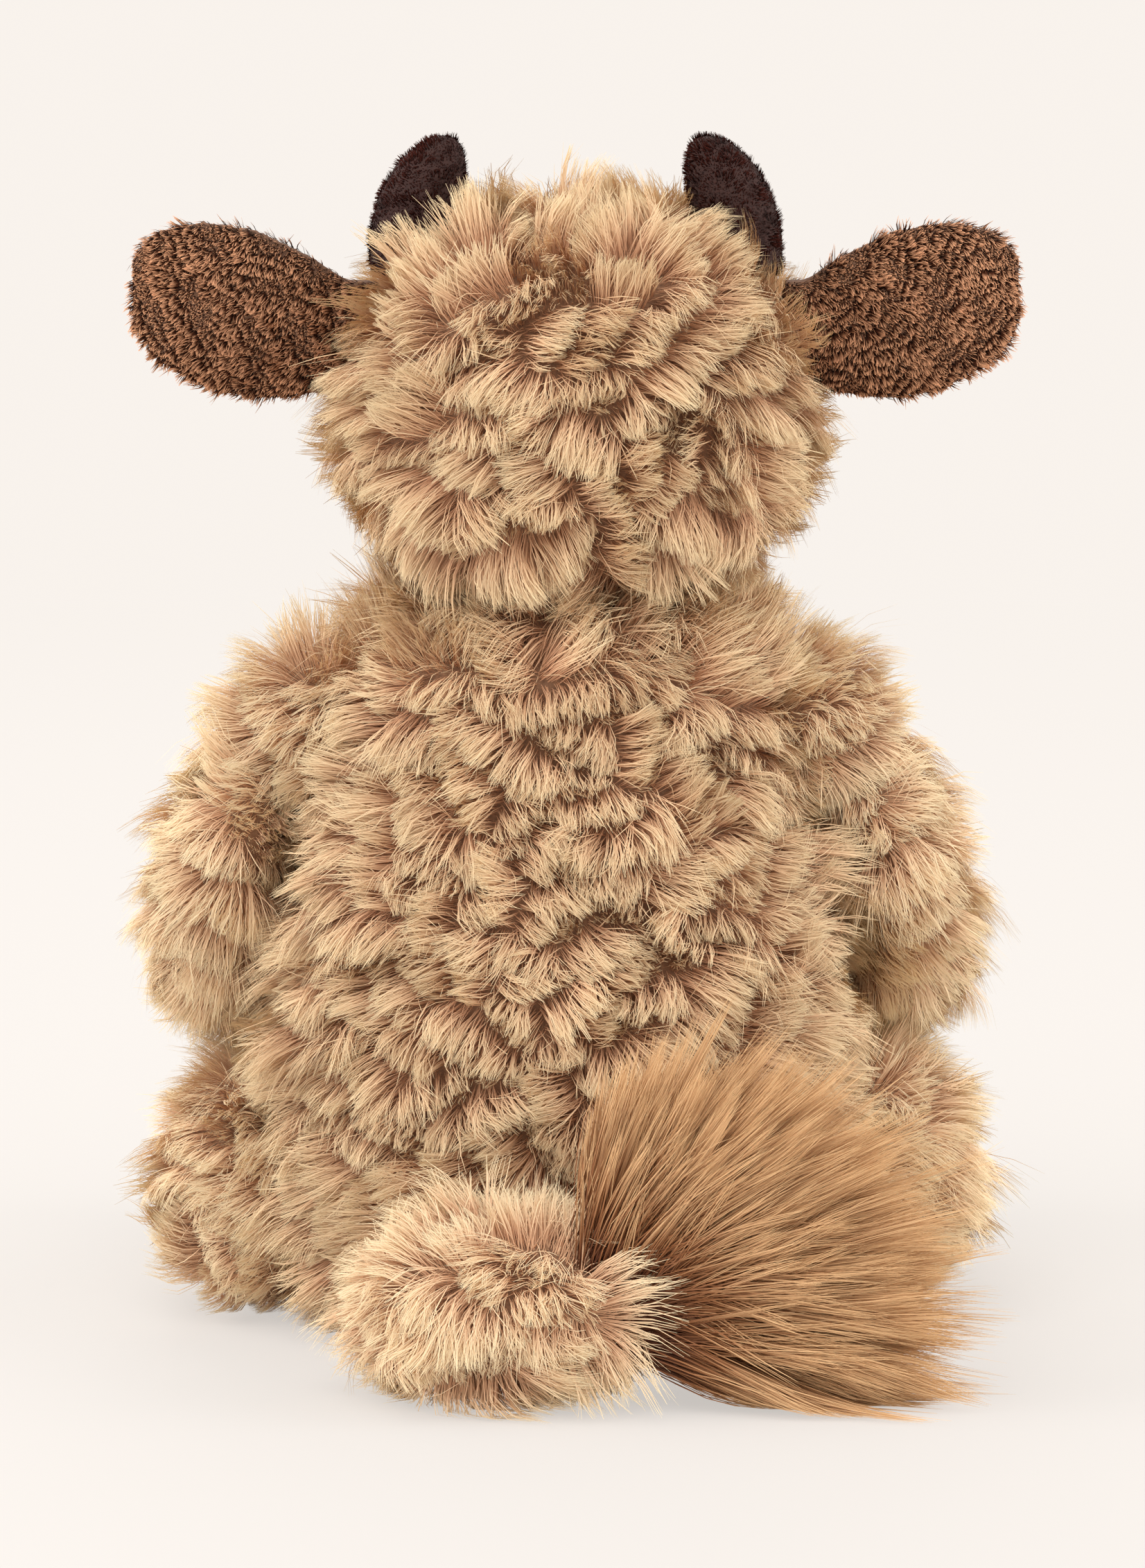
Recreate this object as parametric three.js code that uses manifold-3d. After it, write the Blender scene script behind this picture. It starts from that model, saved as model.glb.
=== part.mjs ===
// A plush cow that sits up. Millimetres, +Z up, the face towards -Y and the cow's left side at +X.
// The origin is the middle of the flat base that it sits on.
import * as THREE from "three";
import { mergeVertices } from "three/addons/utils/BufferGeometryUtils.js";
import Module from "manifold-3d";

const wasm = await Module();
wasm.setup();

// Cloth: fur fabric with the packed foot of its pile. Spaces: at a seam, round a piece that is cut to
// another, round the root of an ear, beside a limb, round a turning joint, and the overrun of a cut
const backing = 2.4;
const seam = 0.3;
const trimGap = 0.36;
const earRootGap = 0.42;
const limbGap = 0.45;
const socketGap = 0.8;
const overrun = 20;
const weld = 1e-4;

// Torso: a pear that stands on a flat base
const torsoHeight = 158;
const torsoWidth = 126;
const torsoDepth = 110;
const sideSeamForward = 8;
const neckOpening = 20;
// height, half width, half depth and place along Y, as shares of the torso's own sizes
const torsoShares = [
  [0, 0.7, 0.73, 0.07],
  [0.034, 0.84, 0.86, 0.07],
  [0.125, 0.955, 0.97, 0.055],
  [0.304, 1, 1, 0.04],
  [0.46, 0.995, 0.98, 0.02],
  [0.585, 0.955, 0.94, 0],
  [0.71, 0.905, 0.88, -0.02],
  [0.83, 0.865, 0.82, -0.04],
  [0.915, 0.83, 0.77, -0.05],
  [0.97, 0.78, 0.72, -0.05],
  [1, 0.7, 0.65, -0.05],
];

// Pouch of pellets that weights the seat
const pouchHeight = 17;
const pouchWidth = 80;
const pouchDepth = 76;
// height, half width, half depth and place along Y, as shares of the pouch's own sizes
const pouchShares = [
  [0, 0.8, 0.8, 0],
  [0.2, 0.97, 0.97, 0],
  [0.55, 1, 1, 0],
  [0.85, 0.9, 0.9, 0],
  [1, 0.62, 0.62, 0],
];

// Neck: a stuffed cushion, wider than deep, with a round dish for the underside of the head
const neckRadius = 42;
const neckDepthShare = 0.76;
const neckThickness = 3;
const dishRim = 22;
const neckForward = 3;
const headRound = 38;
// place from the dish's rim to the neck's edge, and height, as shares
const neckShares = [[0.86, 0], [1, 0.24], [0.84, 0.6], [0.4, 0.9], [0, 1]];

// Head: it leans a little towards the cow's right
const headAside = -3.2;
const headHeight = 90;
const headWidth = 104;
const headDepth = 104;
// height, half width, half depth and place along Y, as shares of the head's own sizes
const headShares = [
  [0.115, 0.5, 0.52, -0.05],
  [0.13, 0.67, 0.69, -0.07],
  [0.18, 0.81, 0.84, -0.1],
  [0.27, 0.91, 0.95, -0.12],
  [0.4, 0.985, 1, -0.13],
  [0.54, 1, 0.99, -0.11],
  [0.7, 0.955, 0.93, -0.09],
  [0.84, 0.86, 0.81, -0.08],
  [0.93, 0.69, 0.63, -0.06],
  [0.985, 0.43, 0.38, -0.05],
  [1, 0.15, 0.13, -0.05],
];

// Muzzle and nostrils
const muzzleWidth = 62;
const muzzleHeight = 41;
const muzzleReach = 24;
const muzzleRiseShare = 0.26;
const muzzleRoot = 12;
// place along the reach and size, as shares
const muzzleShares = [[0, 0.93], [0.35, 1], [0.68, 0.92], [0.9, 0.68], [1, 0.3]];
const nostrilWidth = 9;
const nostrilHeight = 5.5;
const nostrilDepth = 2.4;
const nostrilSpacing = 20;
const nostrilRise = 4;

// Eyes: a domed head on a shank, locked inside the cover by a washer
const eyeRadius = 6;
const eyeDome = 3.8;
const eyeLift = 0.6;
const eyeSpacing = 50;
const eyeRiseShare = 0.56;
// radius and height of the domed face, as shares
const eyeShares = [[0.9, 0], [1, 0.26], [0.9, 0.56], [0.62, 0.88], [0.26, 1]];
const shankRadius = 1.9;
const shankLength = 9;
const washerRadius = 7;
const washerThickness = 1.8;
const washerDepth = 1.8;

// Horns
const hornRadius = 10.4;
const hornLength = 31.5;
const hornSpacing = 72;
const hornLean = 6.5;
const hornRootDepth = 13;
// place along the horn, radius and lean, as shares
const hornShares = [
  [0, 0.96, -0.08],
  [0.3, 1, 0],
  [0.58, 0.94, 0.24],
  [0.8, 0.76, 0.6],
  [0.93, 0.48, 0.88],
  [0.99, 0.22, 1],
];

// Ears: a flat leaf on a round root that lets it fold
const earLength = 53;
const earHeight = 39.5;
const earThickness = 8.4;
const earRiseShare = 0.708;
const earTilt = 10;
const earRootRadius = 5;
const earRootHeight = 24;
const earRootInset = 3.5;
const earForward = 2;
const liningThickness = 2;
// place along the ear, half height and half thickness, as shares
const earShares = [
  [0.02, 0.56, 0.8],
  [0.2, 0.8, 0.98],
  [0.42, 0.98, 1],
  [0.66, 0.97, 0.97],
  [0.85, 0.76, 0.85],
  [0.96, 0.42, 0.62],
];

// Arms: a round cap at the shoulder, and a limb that hangs down and bends forward over the leg
const shoulderDrop = 22;
const shoulderForward = 1;
const shoulderRadius = 19;
const shoulderInset = 19;
const shoulderLength = 33;
const armThickness = 29;
const armWidth = 45;
const armReach = 61;
const armHoofLength = 26;
const armRest = 1.2;
// outline of the shoulder cap: place outwards and radius, as shares
const capShares = [[0, 0.92], [0.3, 1], [0.55, 0.93], [0.76, 0.74], [0.9, 0.48], [0.98, 0.22]];
// forward reach, height above the elbow, place outwards, half thickness and half width, as shares
const armShares = [
  [0, 1.02, 0, 0.4, 0.5],
  [0, 0.82, 0.36, 0.76, 0.82],
  [0.03, 0.6, 0.72, 0.9, 0.93],
  [0.08, 0.34, 0.96, 0.97, 0.99],
  [0.2, 0.1, 1, 1, 1],
  [0.45, 0, 1, 1, 0.97],
  [0.72, 0.01, 0.95, 0.92, 0.87],
  [1.04, 0.02, 0.92, 0.88, 0.8],
];
// place along the hoof and size, as shares
const hoofShares = [[0, 0.98], [0.28, 1.08], [0.6, 1.07], [0.87, 0.86], [1, 0.52]];

// Legs: a round thigh at the hip, and a limb that lies forward and ends in a hoof
const hipRadius = 27;
const hipHeight = 60;
const hipSpacing = 132;
const hipForward = 4;
const legWidth = 46;
const legHeight = 56;
const legReach = 86;
const legHoofLength = 24;
const floorClearance = 0.8;
// place along the leg, half width, half height and height of the middle, as shares
const legShares = [
  [-0.06, 0.6, 0.7, 0.724],
  [0.15, 0.95, 0.99, 0.991],
  [0.38, 0.98, 0.96, 0.963],
  [0.6, 0.92, 0.88, 0.89],
  [0.82, 0.85, 0.82, 0.834],
  [1.04, 0.86, 0.82, 0.834],
];

// Tail: a fur base that lies on the floor, on a round root in the torso, with a fan of long hair
const tailWidth = 68;
const tailDepth = 46;
const tailHeight = 40;
const tailOffset = 13;
const tailBehind = 27;
const tailRootRadius = 14;
const tailRootHeight = 32;
const tailRootOffset = 10;
const tailRootRise = 24;
const tuftLength = 70;
const tuftHeight = 68;
const tuftThickness = 26;
const tuftCutShare = 0.84;
// place along the hair, height of the middle, half height and half thickness, as shares
const tuftShares = [
  [0, 0.42, 0.3, 0.56],
  [0.06, 0.48, 0.42, 0.84],
  [0.17, 0.5, 0.48, 1],
  [0.37, 0.5, 0.5, 0.98],
  [0.6, 0.47, 0.46, 0.84],
  [0.78, 0.41, 0.38, 0.62],
  [0.91, 0.34, 0.25, 0.4],
  [1, 0.31, 0.12, 0.2],
];

// Steps round a form
const torsoSides = 18;
const headSides = 18;
const limbSides = 12;
const roundSides = 16;
const smallSides = 10;
const dishSides = 24;
const dishRows = 16;
const ballRows = 6;
const tailRows = 10;
const squareness = 2.35;
const roundness = 2;

// Colours
const furColour = 0xcfa97c;
const earColour = 0x8a5f43;
const suedeColour = 0x3c2622;
const hairColour = 0xb9844f;
const stuffingColour = 0xf1eee6;
const eyeColour = 0x120d0b;

// Keeps only the corners of a geometry, shared by the faces that meet there, with the faces outwards
function bare(geometry) {
  const form = geometry.clone();
  form.deleteAttribute("normal");
  form.deleteAttribute("uv");
  const merged = mergeVertices(form, weld);
  const place = merged.attributes.position;
  const index = [];
  const corner = [new THREE.Vector3(), new THREE.Vector3(), new THREE.Vector3()];
  let volume = 0;
  for (let i = 0; i < merged.index.count; i += 3) {
    const face = [0, 1, 2].map((k) => merged.index.getX(i + k));
    if (new Set(face).size < face.length) continue;
    face.forEach((vertex, k) => corner[k].fromBufferAttribute(place, vertex));
    volume += corner[0].dot(corner[1].cross(corner[2]));
    index.push(face);
  }
  merged.setIndex(index.flatMap((face) => (volume < 0 ? [face[0], face[2], face[1]] : face)));
  return merged;
}

// The same form with its surface moved inwards, or outwards where the depth is negative
function inset(geometry, depth) {
  const form = bare(geometry);
  form.computeVertexNormals();
  const place = form.attributes.position;
  const normal = form.attributes.normal;
  for (let i = 0; i < place.count; i++) {
    place.setXYZ(
      i,
      place.getX(i) - normal.getX(i) * depth,
      place.getY(i) - normal.getY(i) * depth,
      place.getZ(i) - normal.getZ(i) * depth,
    );
  }
  form.deleteAttribute("normal");
  return form;
}

function solid(geometry) {
  const form = bare(geometry);
  return new wasm.Manifold(
    new wasm.Mesh({
      numProp: 3,
      vertProperties: new Float32Array(form.attributes.position.array),
      triVerts: new Uint32Array(form.index.array),
    }),
  );
}

function join(first, ...rest) {
  return rest.reduce((whole, next) => whole.add(solid(next)), solid(first));
}

function cut(whole, ...tools) {
  return tools.reduce((rest, tool) => rest.subtract(tool.getMesh ? tool : solid(tool)), whole);
}

function keep(whole, tool) {
  return whole.intersect(solid(tool));
}

function geometryOf(manifold) {
  const mesh = manifold.getMesh();
  const geometry = new THREE.BufferGeometry();
  const places = new Float32Array(mesh.vertProperties);
  geometry.setAttribute("position", new THREE.BufferAttribute(places, mesh.numProp));
  geometry.setIndex(new THREE.BufferAttribute(new Uint32Array(mesh.triVerts), 1));
  return geometry;
}

function mirrored(geometry) {
  return bare(geometry.clone().scale(-1, 1, 1));
}

// A form through rings of points, closed by a point at each end: each ring has a centre and two half axes
function loft(rings, sides, power = roundness) {
  const places = [];
  const faces = [];
  const bend = (value) => Math.sign(value) * Math.abs(value) ** (roundness / power);
  rings.forEach(({ centre, across, along }) => {
    for (let i = 0; i < sides; i++) {
      const angle = (i / sides) * 2 * Math.PI;
      const point = centre
        .clone()
        .addScaledVector(across, bend(Math.cos(angle)))
        .addScaledVector(along, bend(Math.sin(angle)));
      places.push(...point.toArray());
    }
  });
  for (let ring = 0; ring + 1 < rings.length; ring++) {
    for (let i = 0; i < sides; i++) {
      const next = (i + 1) % sides;
      const [a, b] = [ring * sides + i, ring * sides + next];
      faces.push(a, b, b + sides, a, b + sides, a + sides);
    }
  }
  [0, rings.length - 1].forEach((ring) => {
    const end = places.length / 3;
    places.push(...rings[ring].centre.toArray());
    for (let i = 0; i < sides; i++) {
      const pair = [ring * sides + i, ring * sides + ((i + 1) % sides)];
      faces.push(end, ...(ring ? pair : pair.reverse()));
    }
  });
  const geometry = new THREE.BufferGeometry();
  geometry.setAttribute("position", new THREE.Float32BufferAttribute(places, 3));
  geometry.setIndex(faces);
  return geometry;
}

const vector = (x, y, z) => new THREE.Vector3(x, y, z);

// A pear, bun or leaf from a table of shares, one level ring at each height
function stacked(shares, width, depth, height, base, centreY, sides) {
  const rings = shares.map(([rise, wide, deep, forward]) => ({
    centre: vector(0, centreY + (forward * depth) / 2, base + rise * height),
    across: vector((wide * width) / 2, 0, 0),
    along: vector(0, (deep * depth) / 2, 0),
  }));
  return loft(rings, sides, squareness);
}

// A round form turned about an upright axis, from a profile of [radius, height]
function turned(profile, sides) {
  const points = profile.map(([radius, height]) => new THREE.Vector2(radius, height));
  return new THREE.LatheGeometry(points, sides).rotateX(Math.PI / 2);
}

function rod(radius, low, high, sides) {
  return turned([[0, low], [radius, low], [radius, high], [0, high]], sides);
}

function slab(low, high) {
  const size = vector(...high).sub(vector(...low));
  const middle = vector(...high).add(vector(...low)).multiplyScalar(0.5);
  return new THREE.BoxGeometry(...size.toArray()).translate(...middle.toArray());
}

const reach = torsoHeight + headHeight + overrun;

// Main places, worked out from the sizes above
const neckBase = torsoHeight + seam;
const neckTop = neckBase + neckThickness;
const headBase = neckTop + seam;
const headPivot = vector(0, -neckForward, headBase + headRound);
const headCentreY = 0;
const shoulderHeight = torsoHeight - shoulderDrop;
const shoulderX = torsoWidth / 2 - shoulderInset;
const hip = vector(hipSpacing / 2, -hipForward, hipHeight / 2 + floorClearance);
const legTop = hip.z + hipHeight / 2;
const elbowHeight = legTop + armRest + armWidth / 2;
const tailRoot = vector(tailRootOffset, torsoDepth / 2, tailRootRise);
const tail = vector(tailOffset, torsoDepth / 2 + tailBehind, tailHeight / 2 + floorClearance);

const torsoForm = stacked(torsoShares, torsoWidth, torsoDepth, torsoHeight, 0, 0, torsoSides);
const headForm = stacked(headShares, headWidth, headDepth, headHeight, headBase, headCentreY, headSides);
const headUnder = underside(headRound);

// The round underside of the head, which turns and nods in the dish of the neck
function underside(radius) {
  return new THREE.SphereGeometry(radius, dishSides, dishRows)
    .rotateX(Math.PI / 2)
    .translate(...headPivot.toArray());
}

// A plump ball, round about an upright axis so that it can turn in its socket
function ball(radius, height, at, clearance) {
  const profile = [];
  for (let i = 0; i <= ballRows; i++) {
    const angle = (i / ballRows) * Math.PI - Math.PI / 2;
    const round = Math.abs(Math.cos(angle)) ** (roundness / squareness);
    profile.push([(radius + clearance) * round, (height / 2 + clearance) * Math.sin(angle)]);
  }
  return turned(profile, roundSides).translate(...at.toArray());
}

// The thigh is such a ball, so the leg can swing outwards, and so is the root of the tail
function hipForm(clearance = 0) {
  return ball(hipRadius, hipHeight, hip, clearance);
}

function tailRootForm(clearance = 0) {
  return ball(tailRootRadius, tailRootHeight, tailRoot, clearance);
}

// The shoulder is round about a level axis across the toy, so the arm can swing in its socket
function shoulderForm(clearance = 0) {
  const outline = capShares.map(([out, radius]) => [
    shoulderRadius * radius + clearance,
    shoulderLength * out,
  ]);
  const start = [[0, -clearance], [outline[0][0], -clearance]];
  const profile = [...start, ...outline, [0, shoulderLength + clearance]];
  return turned(profile, roundSides)
    .rotateY(Math.PI / 2)
    .translate(shoulderX, -shoulderForward, shoulderHeight);
}

// The rings of an arm, from the shoulder to the wrist
function armRings() {
  const drop = shoulderHeight - elbowHeight;
  const inner = torsoWidth / 2 + 2 * seam;
  return armShares.map(([forward, rise, out, thick, wide], i) => {
    const before = armShares[Math.max(i - 1, 0)];
    const after = armShares[Math.min(i + 1, armShares.length - 1)];
    const onward = vector(0, -(after[0] - before[0]) * armReach, (after[1] - before[1]) * drop).normalize();
    return {
      centre: vector(
        inner + (armThickness / 2) * out,
        -shoulderForward - forward * armReach,
        elbowHeight + rise * drop,
      ),
      across: vector((armThickness / 2) * thick, 0, 0),
      along: vector(0, onward.z, -onward.y).multiplyScalar((armWidth / 2) * wide),
    };
  });
}

// The rings of a leg, from the hip to the ankle
function legRings() {
  return legShares.map(([forward, wide, high, rise]) => ({
    centre: vector(hip.x, hip.y - forward * legReach, floorClearance + seam + (legHeight / 2) * rise),
    across: vector((legWidth / 2) * wide, 0, 0),
    along: vector(0, 0, (legHeight / 2) * high),
  }));
}

// A stuffed suede hoof that grows forward from the end of a limb
function hoofForm(limbEnd, startY, length) {
  const rings = hoofShares.map(([forward, size]) => ({
    centre: vector(limbEnd.centre.x, startY - forward * length, limbEnd.centre.z),
    across: vector(limbEnd.across.x * size, 0, 0),
    along: vector(0, 0, Math.abs(limbEnd.along.z) * size),
  }));
  return loft(rings, limbSides, squareness);
}

// Fur cover, open where the limb's end is sewn on, and the stuffing that fills it
function sewn(forms, section, ...cutters) {
  const outer = join(...forms);
  const inner = join(...forms.map((form) => inset(form, backing)));
  const filling = join(...forms.map((form) => inset(form, backing + seam)));
  return {
    cover: cut(keep(outer, section), inner, ...cutters),
    stuffing: cut(keep(filling, section), ...cutters),
  };
}

const parts = [];
function place(name, manifold, colour, roughness, mirror = false) {
  let geometry = manifold.getMesh ? geometryOf(manifold) : bare(manifold);
  if (mirror) geometry = mirrored(geometry);
  const material = new THREE.MeshStandardMaterial({ color: colour, roughness, metalness: 0 });
  const mesh = new THREE.Mesh(geometry, material);
  mesh.name = name;
  parts.push(mesh);
}

// The toy is alike on both sides, apart from its tail
function placePair(name, manifold, colour, roughness) {
  place(`${name}_left`, manifold, colour, roughness);
  place(`${name}_right`, manifold, colour, roughness, true);
}

const furRough = 0.95;
const softRough = 0.9;
const eyeRough = 0.12;

// Sockets in the torso for the limbs and the tail
const hipSocket = hipForm(socketGap);
const shoulderSocket = shoulderForm(socketGap);
const tailSocket = tailRootForm(socketGap);
const hipSockets = [hipSocket, mirrored(hipSocket)];
const shoulderSockets = [shoulderSocket, mirrored(shoulderSocket)];
const sockets = [...hipSockets, ...shoulderSockets, tailSocket].map(solid);

function torso() {
  const outer = solid(torsoForm);
  const shell = cut(outer, inset(torsoForm, backing), ...sockets);
  const neckHole = rod(neckOpening, torsoHeight - overrun, torsoHeight + overrun, roundSides).translate(
    0,
    -neckForward,
    0,
  );
  const sides = cut(keep(shell, slab([-reach, -reach, backing + seam], [reach, reach, reach])), neckHole);
  const back = keep(sides, slab([seam / 2, -sideSeamForward, 0], [reach, reach, reach]));
  const backRight = keep(sides, slab([-reach, -sideSeamForward, 0], [-seam / 2, reach, reach]));
  const belly = keep(sides, slab([-reach, -reach, 0], [reach, -sideSeamForward - seam, reach]));
  const base = cut(keep(outer, slab([-reach, -reach, -overrun], [reach, reach, backing])), ...sockets);
  place("back_left_cover", back, furColour, furRough);
  place("back_right_cover", backRight, furColour, furRough);
  place("belly_cover", belly, furColour, furRough);
  place("base_cover", base, furColour, furRough);

  const pouchBase = backing + seam;
  const pouchY = (torsoShares[0][3] * torsoDepth) / 2;
  const pouch = stacked(pouchShares, pouchWidth, pouchDepth, pouchHeight, pouchBase, pouchY, torsoSides);
  const pouchRoom = stacked(
    pouchShares,
    pouchWidth + 2 * seam,
    pouchDepth + 2 * seam,
    pouchHeight + 2 * seam,
    pouchBase - seam,
    pouchY,
    torsoSides,
  );
  place("pellet_pouch", cut(solid(pouch), ...sockets), stuffingColour, softRough);
  const underTop = pouchBase + pouchHeight * pouchShares[1][0];
  const under = slab([-reach, -reach, -overrun], [reach, reach, underTop]);
  const filling = cut(solid(inset(torsoForm, backing + seam)), pouchRoom, under, ...sockets);
  place("body_stuffing", filling, stuffingColour, softRough);
}

function neck() {
  const top = headPivot.z - Math.sqrt((headRound + socketGap) ** 2 - dishRim ** 2);
  const outline = neckShares.map(([out, rise]) => [
    dishRim + out * (neckRadius - dishRim),
    neckBase + rise * (top - neckBase),
  ]);
  const profile = [[0, neckBase], ...outline, [0, top]];
  const cushion = turned(profile, roundSides).scale(1, neckDepthShare, 1).translate(0, -neckForward, 0);
  place("neck_stuffing", cut(solid(cushion), underside(headRound + socketGap)), stuffingColour, softRough);
}

// A point on the front or side of a form and the way that the surface faces there
function touch(form, from, way) {
  const target = new THREE.Mesh(form, new THREE.MeshBasicMaterial({ side: THREE.DoubleSide }));
  const hit = new THREE.Raycaster(from, way.clone().normalize()).intersectObject(target)[0];
  return { point: hit.point, normal: hit.face.normal.clone() };
}

// Turns and moves a form made along +Z so that it points away from a surface
function onto(form, point, normal) {
  const turn = new THREE.Quaternion().setFromUnitVectors(vector(0, 0, 1), normal);
  return form.applyQuaternion(turn).translate(...point.toArray());
}

function head() {
  const eyeHeight = headBase + eyeRiseShare * headHeight;
  const eyeSpot = touch(headForm, vector(eyeSpacing / 2, -reach, eyeHeight), vector(0, 1, 0));
  const spot = [eyeSpot.point, eyeSpot.normal];
  const face = eyeShares.map(([radius, rise]) => [eyeRadius * radius, eyeLift + eyeDome * rise]);
  const shank = [[0, -shankLength], [shankRadius, -shankLength], [shankRadius, eyeLift]];
  const eyeProfile = [...shank, ...face, [0, eyeLift + eyeDome]];
  const eye = onto(turned(eyeProfile, smallSides), ...spot);
  const washerTop = -backing - washerDepth;
  const washerProfile = [
    [shankRadius + seam, washerTop - washerThickness],
    [washerRadius, washerTop - washerThickness],
    [washerRadius, washerTop],
    [shankRadius + seam, washerTop],
    [shankRadius + seam, washerTop - washerThickness],
  ];
  const washer = onto(turned(washerProfile, smallSides), ...spot);
  const shankHole = onto(rod(shankRadius + seam, -shankLength - seam, overrun, smallSides), ...spot);
  const washerRoom = onto(
    rod(washerRadius + seam, washerTop - washerThickness - seam, overrun, smallSides),
    ...spot,
  );
  placePair("eye", eye, eyeColour, eyeRough);
  placePair("eye_washer", washer, stuffingColour, softRough);

  // The ear's round root is let into the head
  const earZ = headBase + earRiseShare * headHeight;
  const earX = headWidth / 2 - earRootInset;
  const rootAt = (radius, half) => rod(radius, -half, half, smallSides).translate(earX, -earForward, earZ);
  const earRoot = rootAt(earRootRadius, earRootHeight / 2);
  const earSocket = rootAt(earRootRadius + earRootGap, earRootHeight / 2 + seam);
  const earHoles = [earSocket, mirrored(earSocket)];

  const forms = [headForm, headUnder];
  const outer = join(...forms);
  const shell = cut(outer, join(...forms.map((form) => inset(form, backing))), ...earHoles);
  const holes = [shankHole, mirrored(shankHole)];
  const half = slab([seam / 2, -reach, 0], [reach, reach, reach]);
  const left = keep(cut(shell, ...holes), half);
  placePair("head_cover", left, furColour, furRough);
  const rooms = [washerRoom, mirrored(washerRoom), ...holes];
  const filling = join(...forms.map((form) => inset(form, backing + seam)));
  place("head_stuffing", cut(filling, ...rooms, ...earHoles), stuffingColour, softRough);

  // Whatever is sewn onto the head is cut to its outside
  const headRoom = inset(headForm, -trimGap);
  muzzle(headRoom);
  horns(headRoom);
  ears(earRoot, vector(earX, -earForward, earZ));
}

function muzzle(headRoom) {
  const faceY = headCentreY - (headDepth / 2) * (1 - headShares[4][3]);
  const centre = vector(0, faceY + muzzleRoot, headBase + muzzleRiseShare * headHeight);
  const length = muzzleReach + muzzleRoot;
  const rings = muzzleShares.map(([out, size]) => ({
    centre: vector(0, centre.y - out * length, centre.z),
    across: vector((muzzleWidth / 2) * size, 0, 0),
    along: vector(0, 0, (muzzleHeight / 2) * size),
  }));
  const form = loft(rings, roundSides, squareness);
  const aim = vector(nostrilSpacing / 2, -reach, centre.z + nostrilRise);
  const spot = touch(form, aim, vector(0, 1, 0));
  const lens = (grow) =>
    onto(
      new THREE.SphereGeometry(1, smallSides, ballRows).scale(
        nostrilWidth / 2 + grow,
        nostrilHeight / 2 + grow,
        nostrilDepth / 2 + grow,
      ),
      spot.point,
      spot.normal,
    );
  const room = lens(trimGap);
  place("muzzle", cut(solid(form), headRoom, room, mirrored(room)), furColour, softRough);
  placePair("nostril", lens(0), suedeColour, softRough);
}

function horns(headRoom) {
  const base = headBase + headHeight - hornRootDepth;
  const rings = hornShares.map(([rise, radius, lean]) => ({
    centre: vector(hornSpacing / 2 - lean * hornLean, -earForward, base + rise * hornLength),
    across: vector(hornRadius * radius, 0, 0),
    along: vector(0, hornRadius * radius, 0),
  }));
  placePair("horn", cut(solid(loft(rings, limbSides)), headRoom), suedeColour, softRough);
}

function ears(root, at) {
  const rings = earShares.map(([out, high, thick]) => ({
    centre: vector(at.x + out * earLength, at.y, at.z + out * earTilt),
    across: vector(0, (earThickness / 2) * thick, 0),
    along: vector(0, 0, (earHeight / 2) * high),
  }));
  const leaf = loft(rings, limbSides, squareness);
  const front = at.y - earThickness / 2 + liningThickness;
  const facing = slab([at.x + earRootRadius + seam, -reach, 0], [reach, front, reach]);
  const facingRoom = slab([at.x + earRootRadius, -reach, 0], [reach, front + seam, reach]);
  placePair("ear_lining", keep(solid(leaf), facing), earColour, furRough);
  placePair("ear", cut(join(leaf, root), facingRoom), earColour, furRough);
}

// The torso's space, which trims a limb everywhere but in its round root
function torsoRoom(root) {
  return cut(solid(inset(torsoForm, -limbGap)), root);
}

function arms() {
  const wristY = -shoulderForward - armReach;
  const rings = armRings();
  const forms = [shoulderForm(), loft(rings, limbSides, squareness)];
  const section = slab([0, wristY, 0], [reach, reach, reach]);
  const arm = sewn(forms, section, torsoRoom(shoulderForm()));
  placePair("arm_cover", arm.cover, furColour, furRough);
  placePair("arm_stuffing", arm.stuffing, stuffingColour, softRough);
  const hoof = hoofForm(rings.at(-1), wristY - seam, armHoofLength);
  placePair("arm_hoof", hoof, suedeColour, softRough);
}

function legs() {
  const ankleY = hip.y - legReach;
  const rings = legRings();
  const forms = [hipForm(), loft(rings, limbSides, squareness)];
  const section = slab([0, ankleY, 0], [reach, reach, reach]);
  const leg = sewn(forms, section, torsoRoom(hipForm()));
  placePair("leg_cover", leg.cover, furColour, furRough);
  placePair("leg_stuffing", leg.stuffing, stuffingColour, softRough);
  const hoof = hoofForm(rings.at(-1), ankleY - seam, legHoofLength);
  placePair("leg_hoof", hoof, suedeColour, softRough);
}

function tailParts() {
  const body = new THREE.SphereGeometry(1, roundSides, tailRows)
    .rotateX(Math.PI / 2)
    .scale(tailWidth / 2, tailDepth / 2, tailHeight / 2)
    .translate(...tail.toArray());
  const tuftX = tail.x - (tailWidth / 2) * tuftCutShare;
  const section = slab([tuftX, -reach, 0], [reach, reach, reach]);
  const base = sewn([body, tailRootForm()], section);
  place("tail_cover", base.cover, furColour, furRough);
  place("tail_stuffing", base.stuffing, stuffingColour, softRough);

  const rings = tuftShares.map(([out, rise, high, thick]) => ({
    centre: vector(tuftX - seam - out * tuftLength, tail.y, floorClearance + rise * tuftHeight),
    across: vector(0, (tuftThickness / 2) * thick, 0),
    along: vector(0, 0, tuftHeight * high),
  }));
  const aboveFloor = slab([-reach, -reach, floorClearance], [reach, reach, reach]);
  place("tail_tuft", keep(solid(loft(rings, limbSides)), aboveFloor), hairColour, furRough);
}

torso();
const beforeHead = parts.length;
neck();
head();
parts.slice(beforeHead).forEach((mesh) => mesh.geometry.translate(headAside, 0, 0));
arms();
legs();
tailParts();

const cow = new THREE.Group();
cow.name = "plush_cow";
parts.forEach((mesh) => cow.add(mesh));

export default cow;
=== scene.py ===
import math

import bmesh
import bpy
import numpy as np
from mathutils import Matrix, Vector
from mathutils.bvhtree import BVHTree


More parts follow.
